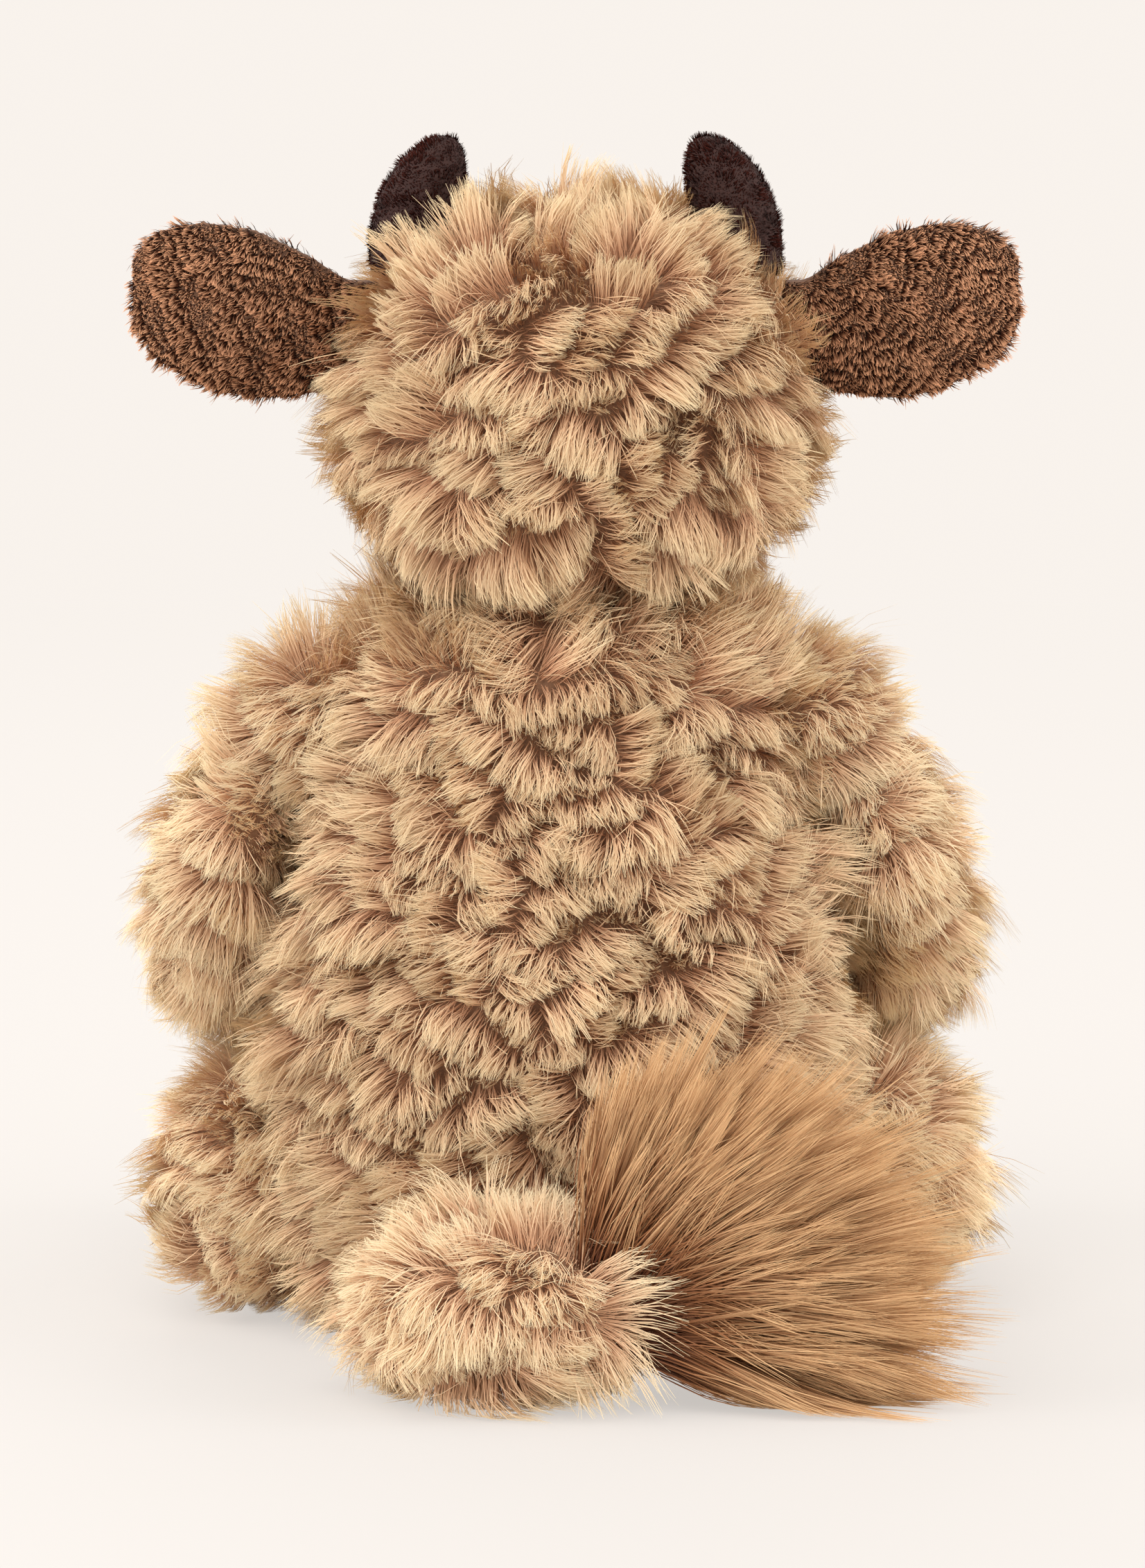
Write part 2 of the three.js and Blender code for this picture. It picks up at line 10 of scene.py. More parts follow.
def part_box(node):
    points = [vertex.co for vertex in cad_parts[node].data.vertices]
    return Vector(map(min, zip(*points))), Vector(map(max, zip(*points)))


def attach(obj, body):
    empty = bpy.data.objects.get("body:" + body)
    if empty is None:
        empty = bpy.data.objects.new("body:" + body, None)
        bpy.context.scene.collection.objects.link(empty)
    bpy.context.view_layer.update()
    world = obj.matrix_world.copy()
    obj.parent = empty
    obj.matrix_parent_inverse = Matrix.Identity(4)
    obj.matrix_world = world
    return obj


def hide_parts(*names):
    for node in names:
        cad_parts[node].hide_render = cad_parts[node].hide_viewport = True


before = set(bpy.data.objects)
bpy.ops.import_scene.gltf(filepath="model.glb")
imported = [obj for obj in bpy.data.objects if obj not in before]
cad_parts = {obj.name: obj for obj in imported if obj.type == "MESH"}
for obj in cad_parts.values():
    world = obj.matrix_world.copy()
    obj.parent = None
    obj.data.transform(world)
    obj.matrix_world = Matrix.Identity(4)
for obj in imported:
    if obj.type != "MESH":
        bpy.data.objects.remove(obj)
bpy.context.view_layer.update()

# Lengths are in metres, and names that end in _DEG are in degrees
MM = 0.001

# Keep a vector without length from dividing by zero
LEAST_LENGTH = 1e-12
TINY = 1e-9

# The toy's own sides, with the sign of x there. It faces -Y.
SIDES = {"left": 1, "right": -1}

# Seeds of the random draws, one for each thing that is grown or muddled
SEEDS = {
    "head_fur": 11,
    "torso_fur": 12,
    "tail_fur": 14,
    "neck_fur": 15,
    "arm_fur_left": 20,
    "leg_fur_left": 21,
    "arm_fur_right": 30,
    "leg_fur_right": 31,
    "ear_pile_left": 40,
    "horn_nap_left": 41,
    "arm_hoof_nap_left": 42,
    "leg_hoof_nap_left": 43,
    "ear_pile_right": 50,
    "horn_nap_right": 51,
    "arm_hoof_nap_right": 52,
    "leg_hoof_nap_right": 53,
    "muzzle_pile": 60,
    "head_muddle": 61,
    "tail_muddle": 62,
    "tail_hair": 70,
}


def seeded(name):
    return np.random.default_rng(SEEDS[name])


# Camera: behind the toy and a little above it, framed as the photograph, which is 2262 pixels high
PICTURE_HEIGHT = 2262
MM_PER_PIXEL = 0.157
CAMERA_DISTANCE = 1.45
CAMERA_RISE_DEG = 8.0
AIM = Vector((-0.0025, 0.0, 0.1235))
SENSOR_MM = 24.0


def make_camera():
    rise = math.radians(CAMERA_RISE_DEG)
    data = bpy.data.cameras.new("camera")
    data.sensor_fit = "VERTICAL"
    data.sensor_height = SENSOR_MM
    data.lens = SENSOR_MM * CAMERA_DISTANCE / (PICTURE_HEIGHT * MM_PER_PIXEL * MM)
    camera = bpy.data.objects.new("camera", data)
    bpy.context.scene.collection.objects.link(camera)
    camera.location = AIM + Vector((0, math.cos(rise), math.sin(rise))) * CAMERA_DISTANCE
    camera.rotation_euler = (AIM - camera.location).to_track_quat("-Z", "Y").to_euler()
    bpy.context.scene.camera = camera


make_camera()


# Materials
STRAND_MAP = "OFBake"
ROOT_COLOUR_ENDS = 0.22
MIDDLE_COLOUR_AT = 0.5
BRIGHTEST_TONE = 1.14
CLOTH_RELIEF = 0.0004
CLOTH_DETAIL = 5


def new_material(name):
    material = bpy.data.materials.new(name)
    material.use_nodes = True
    nodes = material.node_tree.nodes
    return material, nodes, material.node_tree.links, nodes["Principled BSDF"]


def ramped(nodes, links, factor, stops):
    """A colour between the stops, picked by a factor."""
    node = nodes.new("ShaderNodeValToRGB")
    ramp = node.color_ramp
    while len(ramp.elements) < len(stops):
        ramp.elements.new(0.5)
    for element, (place, colour) in zip(ramp.elements, stops):
        element.position = place
        element.color = (*colour, 1)
    links.new(factor, node.inputs["Fac"])
    return node.outputs["Color"]


def pile_material(name, root, middle, tip, dark, roughness, shine=0.25):
    """Colour along a strand from root to tip (v) and the strand's own tone (u), from its map."""
    material, nodes, links, shader = new_material(name)
    uv = nodes.new("ShaderNodeUVMap")
    uv.uv_map = STRAND_MAP
    split = nodes.new("ShaderNodeSeparateXYZ")
    links.new(uv.outputs["UV"], split.inputs["Vector"])
    # Darker and browner towards the root: partly the pile's own colour, partly painted shade deep
    # in the pile
    colours = [(0, root), (ROOT_COLOUR_ENDS, root), (MIDDLE_COLOUR_AT, middle), (1, tip)]
    tones = [(0, dark), (0.5, (1, 1, 1)), (1, (BRIGHTEST_TONE,) * 3)]
    mix = nodes.new("ShaderNodeMix")
    mix.data_type = "RGBA"
    mix.blend_type = "MULTIPLY"
    mix.inputs["Factor"].default_value = 1
    links.new(ramped(nodes, links, split.outputs["Y"], colours), mix.inputs["A"])
    links.new(ramped(nodes, links, split.outputs["X"], tones), mix.inputs["B"])
    links.new(mix.outputs["Result"], shader.inputs["Base Color"])
    shader.inputs["Roughness"].default_value = roughness
    shader.inputs["Specular IOR Level"].default_value = shine
    return material


def noise_in(nodes, links, scale, detail):
    """Noise that is fixed to the object, from 0 to 1."""
    coords = nodes.new("ShaderNodeTexCoord")
    noise = nodes.new("ShaderNodeTexNoise")
    noise.inputs["Scale"].default_value = scale
    noise.inputs["Detail"].default_value = detail
    links.new(coords.outputs["Object"], noise.inputs["Vector"])
    return noise.outputs["Fac"]


def cloth_material(name, colour, shade, scale, roughness, bump):
    """Short cloth in two shades of one colour, with a fine relief."""
    material, nodes, links, shader = new_material(name)
    noise = noise_in(nodes, links, scale, CLOTH_DETAIL)
    colours = ramped(nodes, links, noise, [(0.3, shade), (0.7, colour)])
    links.new(colours, shader.inputs["Base Color"])
    relief = nodes.new("ShaderNodeBump")
    relief.inputs["Strength"].default_value = bump
    relief.inputs["Distance"].default_value = CLOTH_RELIEF
    links.new(noise, relief.inputs["Height"])
    links.new(relief.outputs["Normal"], shader.inputs["Normal"])
    shader.inputs["Roughness"].default_value = roughness
    return material


def eye_material():
    """Dark glossy plastic, a little uneven in colour and polish."""
    material, nodes, links, shader = new_material("eye_gloss")
    noise = noise_in(nodes, links, scale=320, detail=3)
    colours = [(0.35, (0.004, 0.003, 0.002)), (0.65, (0.014, 0.008, 0.005))]
    polish = [(0.3, (0.08,) * 3), (0.7, (0.16,) * 3)]
    links.new(ramped(nodes, links, noise, colours), shader.inputs["Base Color"])
    links.new(ramped(nodes, links, noise, polish), shader.inputs["Roughness"])
    shader.inputs["Specular IOR Level"].default_value = 0.3
    return material


# Each pile's root is darker than its tip: partly its own colour, partly painted shade deep in the
# pile
FUR = pile_material(
    "fur",
    root=(0.64, 0.36, 0.21),
    middle=(0.78, 0.53, 0.32),
    tip=(0.82, 0.655, 0.41),
    dark=(0.82, 0.74, 0.67),
    roughness=0.9,
    shine=0.1,
)
# Paler and creamier than fur: painted light on the limbs and the tail
PAINTED_LIGHT_FUR = pile_material(
    "painted_light_fur",
    root=(0.66, 0.4, 0.24),
    middle=(0.79, 0.565, 0.355),
    tip=(0.83, 0.695, 0.455),
    dark=(0.84, 0.78, 0.72),
    roughness=0.9,
    shine=0.1,
)
EAR_PILE = pile_material(
    "ear_pile",
    root=(0.012, 0.003, 0.001),
    middle=(0.08, 0.024, 0.01),
    tip=(0.95, 0.49, 0.27),
    dark=(0.38, 0.29, 0.24),
    roughness=0.8,
    shine=0.1,
)
LONG_HAIR = pile_material(
    "long_hair",
    root=(0.12, 0.038, 0.016),
    middle=(0.33, 0.134, 0.051),
    tip=(0.86, 0.56, 0.29),
    dark=(0.6, 0.5, 0.42),
    roughness=0.6,
)
NAP = pile_material(
    "nap",
    root=(0.014, 0.004, 0.003),
    middle=(0.035, 0.009, 0.006),
    tip=(0.065, 0.015, 0.01),
    dark=(0.5, 0.45, 0.42),
    roughness=0.9,
    shine=0.05,
)
MUZZLE_PILE = pile_material(
    "muzzle_pile",
    root=(0.35, 0.19, 0.11),
    middle=(0.72, 0.5, 0.32),
    tip=(0.88, 0.7, 0.5),
    dark=(0.72, 0.6, 0.5),
    roughness=0.75,
)
# The backing is darker than the fur: painted shade where it shows between the strands
PAINTED_SHADE_BACKING = cloth_material("painted_shade_backing", (0.30, 0.16, 0.085), (0.18, 0.09, 0.05), 900, 0.95, 0.4)
SUEDE = cloth_material("suede", (0.05, 0.017, 0.012), (0.024, 0.008, 0.006), 1500, 0.9, 0.8)
LINING = cloth_material("lining", (0.22, 0.11, 0.06), (0.13, 0.06, 0.035), 1400, 0.9, 0.6)
WASHER = cloth_material("washer", (0.12, 0.07, 0.045), (0.085, 0.048, 0.03), 300, 0.6, 0.1)
EYE = eye_material()


# Objects and skins
def add_object(name, mesh):
    piece = bpy.data.objects.new(name, mesh)
    bpy.context.scene.collection.objects.link(piece)
    return piece


def wear(piece, material):
    piece.data.materials.clear()
    piece.data.materials.append(material)


def carry(pieces, body):
    for piece in pieces:
        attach(piece, body)


def baked_copy(piece, name):
    """The piece with its modifiers applied, as a new object; the old one goes."""
    graph = bpy.context.evaluated_depsgraph_get()
    mesh = bpy.data.meshes.new_from_object(piece.evaluated_get(graph))
    bpy.data.objects.remove(piece)
    made = add_object(name, mesh)
    mesh.name = name
    return made


def skin_from(solids, name, material, voxel, smooth):
    """A smooth closed skin worked out from one or more solids of the frame."""
    joined = bmesh.new()
    for solid in solids:
        joined.from_mesh(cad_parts[solid].data)
    mesh = bpy.data.meshes.new(name + "_raw")
    joined.to_mesh(mesh)
    joined.free()
    piece = add_object(name + "_raw", mesh)
    remesh = piece.modifiers.new("remesh", "REMESH")
    remesh.mode = "VOXEL"
    remesh.voxel_size = voxel
    soften = piece.modifiers.new("soften", "SMOOTH")
    soften.factor = 0.5
    soften.iterations = smooth
    skin = baked_copy(piece, name)
    wear(skin, material)
    skin.data.polygons.foreach_set("use_smooth", [True] * len(skin.data.polygons))
    return skin


def soft_part(solids, name, body, material, voxel, smooth, covers=()):
    """A skin over soft solids of the frame, which stands for them and for the covers round them."""
    skin = skin_from(solids, name, material, voxel, smooth)
    carry([skin], body)
    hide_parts(*solids, *covers)
    return skin


# Vectors, as rows of arrays
def unit(vectors):
    lengths = np.linalg.norm(vectors, axis=-1, keepdims=True)
    return vectors / np.maximum(lengths, LEAST_LENGTH)


def tangent(vectors, normals):
    """The part of each vector that lies along the surface."""
    return unit(vectors - (vectors * normals).sum(1, keepdims=True) * normals)


def turned(vectors, axes, angles):
    """Each vector turned about its own axis."""
    cos, sin = np.cos(angles)[:, None], np.sin(angles)[:, None]
    along = axes * (axes * vectors).sum(1, keepdims=True)
    return vectors * cos + np.cross(axes, vectors) * sin + along * (1 - cos)


def drift(points, random, wavelength=0.04, waves=6):
    """A smooth random value, from about -1.5 to 1.5, that changes over the surface."""
    ways = unit(random.normal(0, 1, (waves, 3))) * 2 * math.pi / wavelength
    phases = random.uniform(0, 2 * math.pi, waves)
    return np.sin(points @ ways.T + phases).sum(1) / math.sqrt(waves)


def muddle(points, random, wavelength):
    """A smooth random vector that changes over the surface."""
    return np.stack([drift(points, random, wavelength) for _ in range(3)], axis=1)


def ramp_up(values, start, width):
    """0 below the start, 1 from start + width on, and even in between."""
    return np.clip((values - start) / width, 0, 1)


def closeness(points, spot, near):
    """1 at a spot, and next to nothing at twice the distance near."""
    return np.exp(-((np.linalg.norm(points - spot, axis=1) / near) ** 2))


def about_one(random, count, spread, low, high):
    """Random factors near 1, kept between low and high."""
    return random.normal(1, spread, count).clip(low, high)


# Points on meshes
HIDDEN_DEPTH = 0.0015


def mesh_arrays(mesh):
    """Corner places, triangles and corner normals as arrays."""
    mesh.calc_loop_triangles()
    places = np.empty(len(mesh.vertices) * 3)
    mesh.vertices.foreach_get("co", places)
    triangles = np.empty(len(mesh.loop_triangles) * 3, dtype=np.int64)
    mesh.loop_triangles.foreach_get("vertices", triangles)
    normals = np.empty(len(mesh.vertices) * 3)
    mesh.vertices.foreach_get("normal", normals)
    return places.reshape(-1, 3), triangles.reshape(-1, 3), normals.reshape(-1, 3)


def doubled_areas(corners):
    """Twice the area of each triangle."""
    sides = corners[:, 1] - corners[:, 0], corners[:, 2] - corners[:, 0]
    return np.linalg.norm(np.cross(*sides), axis=1)


def surface_area(mesh):
    places, triangles, _ = mesh_arrays(mesh)
    return doubled_areas(places[triangles]).sum() / 2


def scatter(mesh, count, random):
    """Random points spread evenly over a mesh, with the surface's direction at each."""
    places, triangles, normals = mesh_arrays(mesh)
    corners = places[triangles]
    area = doubled_areas(corners)
    chosen = random.choice(len(triangles), size=count, p=area / area.sum())
    a, b = random.random(count), random.random(count)
    over = a + b > 1
    a[over], b[over] = 1 - a[over], 1 - b[over]
    weights = np.stack([1 - a - b, a, b], axis=1)[:, :, None]
    points = (corners[chosen] * weights).sum(1)
    facing = unit((normals[triangles[chosen]] * weights).sum(1))
    return points, facing


def spread_out(points, way, gap, stretch):
    """Which points to keep: each has its own gap to the rest, and less of it along its way."""
    kept = [0]
    for i in range(1, len(points)):
        away = points[kept] - points[i]
        along = away @ way[i]
        if ((away * away).sum(1) + stretch * along * along).min() > gap[i] * gap[i]:
            kept.append(i)
    return np.array(kept)


def nearest(points, seeds, way, stretch, block=3000):
    """The nearest seed of each point, where distance along a seed's own way counts for more."""
    home = np.empty(len(points), dtype=np.int64)
    points, seeds, way = (values.astype(np.float32) for values in (points, seeds, way))
    squared = (seeds * seeds).sum(1)
    ahead = (seeds * way).sum(1)
    for start in range(0, len(points), block):
        part = points[start : start + block]
        along = part @ way.T - ahead[None]
        distance = squared[None] - 2 * part @ seeds.T + stretch * along * along
        home[start : start + block] = distance.argmin(1)
    return home


def tree_of(piece):
    places, triangles, _ = mesh_arrays(piece.data)
    return BVHTree.FromPolygons([Vector(place) for place in places], triangles.tolist())


def hidden(points, trees):
    """Which points lie inside one of the skins, given as trees."""
    inside = np.zeros(len(points), dtype=bool)
    for tree in trees:
        for i, point in enumerate(points):
            if inside[i]:
                continue
            near, way, _, _ = tree.find_nearest(Vector(point))
            if near is not None and (Vector(point) - near).dot(way) < -HIDDEN_DEPTH:
                inside[i] = True
    return inside


# Strands as flat ribbons
MOST_TRIANGLES = 190000
MAP_EDGE = 0.01
TONE_EDGE = 0.02
HALF_STRAND_IN_MAP = 0.012

# For about_one: spread, least and most
STRAND_WIDTH = (0.15, 0.6, 1.5)

# Width along a strand: places from root to tip, and the share of the width there
FUR_TAPER = ([0, 0.5, 0.75, 1], [1.0, 1.0, 0.85, 0.25])
HAIR_TAPER = ([0, 0.6, 0.85, 1], [1.0, 0.9, 0.6, 0.12])


def ribbons(name, paths, widths, side, tone, material, taper):
    """Flat strands as one mesh: paths is strands x points x 3, side the way across each strand."""
    count, steps = paths.shape[:2]
    half = widths[:, None, None] * taper[None, :, None] * side[:, None, :] * 0.5
    places = np.stack([paths - half, paths + half], axis=2).reshape(-1, 3)
    base = (np.arange(count) * steps * 2)[:, None]
    rung = (np.arange(steps - 1) * 2)[None, :]
    first = (base + rung).reshape(-1)
    faces = np.stack([first, first + 1, first + 3, first + 2], axis=1)
    mesh = bpy.data.meshes.new(name)
    mesh.vertices.add(len(places))
    mesh.vertices.foreach_set("co", places.astype(np.float32).ravel())
    mesh.loops.add(faces.size)
    mesh.loops.foreach_set("vertex_index", faces.astype(np.int32).ravel())
    mesh.polygons.add(len(faces))
    mesh.polygons.foreach_set("loop_start", np.arange(0, faces.size, 4, dtype=np.int32))
    mesh.polygons.foreach_set("use_smooth", np.ones(len(faces), dtype=bool))
    mesh.update(calc_edges=True)
    uv = mesh.uv_layers.new(name=STRAND_MAP)
    along = np.tile(np.repeat(np.linspace(MAP_EDGE, 1 - MAP_EDGE, steps), 2), count)
    across = np.repeat(np.clip(tone, TONE_EDGE, 1 - TONE_EDGE), steps * 2)
    across += np.tile([-HALF_STRAND_IN_MAP, HALF_STRAND_IN_MAP], count * steps)
    corner = np.stack([across, along], axis=1)[faces.ravel()]
    uv.data.foreach_set("uv", corner.astype(np.float32).ravel())
    mesh.materials.append(material)
    return add_object(name, mesh)


def strand_pieces(name, paths, widths, side, tone, material, taper):
    """The strands as ribbons, in as few pieces as the most triangles for a piece allow."""
    count, steps = paths.shape[:2]
    widths_along = np.interp(np.linspace(0, 1, steps), *taper)
    most = MOST_TRIANGLES // (2 * (steps - 1))
    parts = max(1, math.ceil(count / most))
    cuts = np.linspace(0, count, parts + 1).astype(int)
    pieces = []
    for k in range(parts):
        part = slice(cuts[k], cuts[k + 1])
        arrays = (values[part] for values in (paths, widths, side, tone))
        pieces.append(ribbons(f"{name}_{k + 1}", *arrays, material, widths_along))
    return pieces


def ways_across(paths, normals, random, twist):
    """The way across each strand, turned about the strand by up to twist degrees."""
    run = unit(paths[:, -1] - paths[:, 0])
    side = unit(np.cross(run, normals) + TINY)
    return turned(side, run, np.radians(random.uniform(-twist, twist, len(paths))))


def above_floor(paths, soft=0.004, least=0.0004):
    """Strands that would reach the floor bend along it."""
    height = paths[..., 2]
    low = height < soft
    height[low] = least + (soft - least) * np.exp((height[low] - soft) / (soft - least))


# How tufts are set out, and how much tufts, locks, wisps and strands differ
CANDIDATES_PER_TUFT = 22
GAP_RANGE = (0.75, 1.5)
REACH_RANGE = (0.6, 1.4)
LOCK_SIZE_RANGE = (0.7, 1.3)
RIPPLE_LENGTH = 0.009
TUFT_RIPPLE = 0.001
TUFT_BLUR = 0.0005
LOCK_RIPPLE = 0.0012
WISP_RIPPLE = 0.0004

# Turn a cell's three counts and its tuft into one number: more than there are cells or tufts
CELLS_ACROSS = 4001
MOST_TUFTS = 997

# How much the tone differs from tuft to tuft, and within each
TUFT_TONE = 0.1
LOCK_TONE = 0.07
WISP_TONE = 0.06
STRAND_TONE = 0.04

# For a wisp, and for a strand within it
SWING_DEG = (9, 4)
BEND_DEG = (6, 4)
CURL_DEG = (16, 5)

# At the root: how much the lift differs, and the share of a tuft's and a lock's own lift
ROOT_LIFT_DEG = 5
RISE_AT_ROOT = 0.5

# A strand's length ends it near the edge of its tuft, within shares of the tuft's reach. Strands
# lean, so they are longer than the way that they cover.
LEAST_EDGE = 0.5
SHORTEST, LONGEST = 0.45, 1.6
LEAN = 1.28
FRONT_OF_TUFT = 0.4

# How much wisps and strands differ in length, for about_one
WISP_LENGTH = (0.06, 0.8, 1.15)
STRAND_LENGTH = (0.05, 0.8, 1.1)

# Loose strands keep out of their wisp
LOOSE_BOUND = 0.15
LOOSE_SWING_DEG = 45
LOOSE_LENGTH = 0.8

# How the pull towards a group grows along a strand, and the wave of a strand
GATHER_POWER = 1.4
WISP_POWER = 1.2
PULL_RANGE = (0.7, 1.1)
WAVE_PHASE = 5.5


def plant_tufts(skin, comb, random, gap, stretch, swirl, turns, others):
    """The middle of each tuft, the way that it lies, and whether another skin hides it."""
    candidates = int(surface_area(skin.data) / gap**2 * CANDIDATES_PER_TUFT)
    seeds, normals = scatter(skin.data, candidates, random)
    way = tangent(comb(seeds), normals)
    kept = spread_out(seeds, way, gap * random.uniform(*GAP_RANGE, len(seeds)), stretch)
    seeds, normals, way = seeds[kept], normals[kept], way[kept]
    angle = random.normal(0, swirl, len(seeds)) + turns * drift(seeds, random)
    return seeds, turned(way, normals, np.radians(angle)), hidden(seeds, others)


def plant_roots(skin, random, density, seeds, way, stretch):
    """The root of each strand, the way out of the skin, a smooth ripple and the strand's tuft."""
    roots, normals = scatter(skin.data, int(surface_area(skin.data) * density), random)
    order = np.argsort(roots[:, 2], kind="stable")
    roots, normals = roots[order], normals[order]
    ripple = muddle(roots, random, RIPPLE_LENGTH)
    blurred = roots + ripple * TUFT_RIPPLE + random.normal(0, TUFT_BLUR, roots.shape)
    return roots, normals, ripple, nearest(blurred, seeds, way, stretch)


def clumps(points, size, home):
    """Parts each tuft into cells: one strand of each cell, and the cell of each strand."""
    key = np.array([1, CELLS_ACROSS, CELLS_ACROSS**2])
    cell = np.floor(points / size).astype(np.int64) @ key * MOST_TUFTS + home
    _, chief, member = np.unique(cell, return_index=True, return_inverse=True)
    return chief, member


def bent_paths(roots, normals, direction, lengths, first, last, curl, steps):
    """Strands that leave the skin at the angle first and end at the angle last, and curl aside."""
    paths = np.empty((len(roots), steps, 3))
    paths[:, 0] = roots
    for i in range(1, steps):
        share = (i - 0.5) / (steps - 1)
        angle = first + (last - first) * share
        heading = turned(direction, normals, curl * share)
        step = heading * np.cos(angle)[:, None] + normals * np.sin(angle)[:, None]
        paths[:, i] = paths[:, i - 1] + step * (lengths / (steps - 1))[:, None]
    return paths


def gather_strands(paths, group, pull, bound):
    """Draws strands towards the middle of their group, and more so towards the tip."""
    size = np.maximum(np.bincount(group), 1)
    steps = paths.shape[1]
    for i in range(1, steps):
        middle = np.stack([np.bincount(group, paths[:, i, k]) / size for k in range(3)], axis=1)
        share = pull * (i / (steps - 1)) ** GATHER_POWER
        paths[:, i] += (middle[group] - paths[:, i]) * (share * bound)[:, None]


def grow_fur(
    name,
    skin,
    comb,
    gap=0.012,  # between tufts
    stretch=2.5,  # how much closer tufts stand along their way than across it
    reach=0.0086,  # from the middle of a tuft to its edge
    density=3.1e6,  # strands to a square metre
    width=0.00018,
    lift=(78, 34),  # degrees off the skin, at root and tip
    climb=(8, 20),  # more of it at the front of a tuft
    swirl=30,  # random turn of a tuft in degrees
    turns=38,  # smooth turn over the surface in degrees
    fan=0.35,  # how far a tuft's strands spread
    bulge=0.5,  # how round a tuft's edge is
    lock=0.0034,
    lock_uneven=(16, 9, 0.12),  # turn and lift in degrees, and size
    wisp=0.0011,
    wisp_pull=0.55,
    gather=(0.15, 0.35),  # towards the middle of the tuft, and of the lock
    stray=0.06,  # share of loose strands
    wave=0.0006,
    frizz=0.00015,
    uneven=(10, 0.16, 22),  # a tuft's lift in degrees, reach, and curl in degrees
    twist=20,
    tone_middle=0.5,
    even=0.0,  # 1 for strands that all have the tuft's reach as their length
    material=FUR,
    others=(),
    trim=None,
    shorten=None,
    shade=None,
    steps=4,
):
    """Fur in overlapping tufts. Every root belongs to its nearest tuft, and all the strands of a
    tuft end near one rounded edge that stands over the next tuft. A tuft parts into locks, and a
    lock into wisps. No tuft grows inside the skins others, and no strand where trim says no;
    shorten scales the reach of tufts, and shade makes strands paler or darker."""
    random = seeded(name)
    seeds, way, bare = plant_tufts(skin, comb, random, gap, stretch, swirl, turns, others)
    tuft_lift = random.normal(0, uneven[0], len(seeds))
    tuft_reach = reach * about_one(random, len(seeds), uneven[1], *REACH_RANGE)
    if shorten is not None:
        tuft_reach *= shorten(seeds)
    tuft_curl = np.radians(random.normal(0, uneven[2], len(seeds)))
    tuft_tone = random.normal(tone_middle, TUFT_TONE, len(seeds))

    roots, normals, ripple, home = plant_roots(skin, random, density, seeds, way, stretch)
    keep = ~bare[home]
    if trim is not None:
        keep &= trim(roots, normals)
    roots, normals, ripple, home = (values[keep] for values in (roots, normals, ripple, home))
    count = len(roots)

    _, in_lock = clumps(roots + ripple * LOCK_RIPPLE, lock, home)
    chief, member = clumps(roots + ripple * WISP_RIPPLE, wisp, home)
    locks, wisps = in_lock.max() + 1, len(chief)

    def varied(by_wisp, by_strand):
        """Random angles that the strands of a wisp mostly share, from degrees to radians."""
        shared = random.normal(0, by_wisp, wisps)[member]
        return np.radians(shared + random.normal(0, by_strand, count))

    lock_turn = np.radians(random.normal(0, lock_uneven[0], locks))[in_lock]
    lock_lift = np.radians(random.normal(0, lock_uneven[1], locks))[in_lock]
    lock_size = about_one(random, locks, lock_uneven[2], *LOCK_SIZE_RANGE)[in_lock]
    loose = random.random(count) < stray
    bound = np.where(loose, LOOSE_BOUND, 1.0)

    # Which way each strand goes along the skin
    direction = tangent(way[home], normals)
    across = np.cross(normals, direction)
    offset = roots - seeds[home]
    aside = (offset * across).sum(1) / gap
    ahead = (offset * direction).sum(1)
    swing = aside * fan + lock_turn + varied(*SWING_DEG)
    swing += np.where(loose, np.radians(random.normal(0, LOOSE_SWING_DEG, count)), 0)
    direction = turned(direction, normals, swing)

    # How long each strand is
    far = tuft_reach[home]
    edge = far * (1 - bulge * aside**2).clip(LEAST_EDGE, 1)
    cut = (edge - ahead).clip(SHORTEST * far, LONGEST * far) * LEAN
    lengths = (cut + (far - cut) * even) * lock_size
    lengths *= np.where(loose, LOOSE_LENGTH, 1.0)
    by_wisp = about_one(random, wisps, *WISP_LENGTH)[member]
    lengths *= by_wisp * about_one(random, count, *STRAND_LENGTH)

    # How each strand stands up and bends over
    rise = np.radians(tuft_lift[home]) + lock_lift
    depth = (ahead / (FRONT_OF_TUFT * gap)).clip(-1, 1)
    first = np.radians(lift[0] + climb[0] * depth) + rise * RISE_AT_ROOT
    first += np.radians(random.normal(0, ROOT_LIFT_DEG, count))
    last = np.radians(lift[1] + climb[1] * depth) + rise + varied(*BEND_DEG)
    curl = tuft_curl[home] + varied(*CURL_DEG)
    phase = random.uniform(0, 2 * math.pi, wisps)[member]
    paths = bent_paths(roots, normals, direction, lengths, first, last, curl, steps)

    # Tufts, locks and wisps draw together
    gather_strands(paths, home, gather[0], bound)
    gather_strands(paths, in_lock, gather[1], bound)
    lead = paths[chief[member]]
    for i in range(1, steps):
        share = i / (steps - 1)
        pull = wisp_pull * share**WISP_POWER * random.uniform(*PULL_RANGE, count) * bound
        paths[:, i] += (lead[:, i] - paths[:, i]) * pull[:, None]
        sway = wave * np.sin(phase + share * WAVE_PHASE) * share
        paths[:, i] += across * sway[:, None] + random.normal(0, frizz * share, (count, 3))
    above_floor(paths)

    side = ways_across(paths, normals, random, twist)
    widths = width * about_one(random, count, *STRAND_WIDTH)
    tone = tuft_tone[home] + random.normal(0, LOCK_TONE, locks)[in_lock]
    tone += random.normal(0, WISP_TONE, wisps)[member]
    tone += random.normal(0, STRAND_TONE, count)
    # Painted shade and painted light on the tone, where shade is given (the ears)
    if shade is not None:
        tone += shade(roots)
    return strand_pieces(name, paths, widths, side, tone, material, FUR_TAPER)


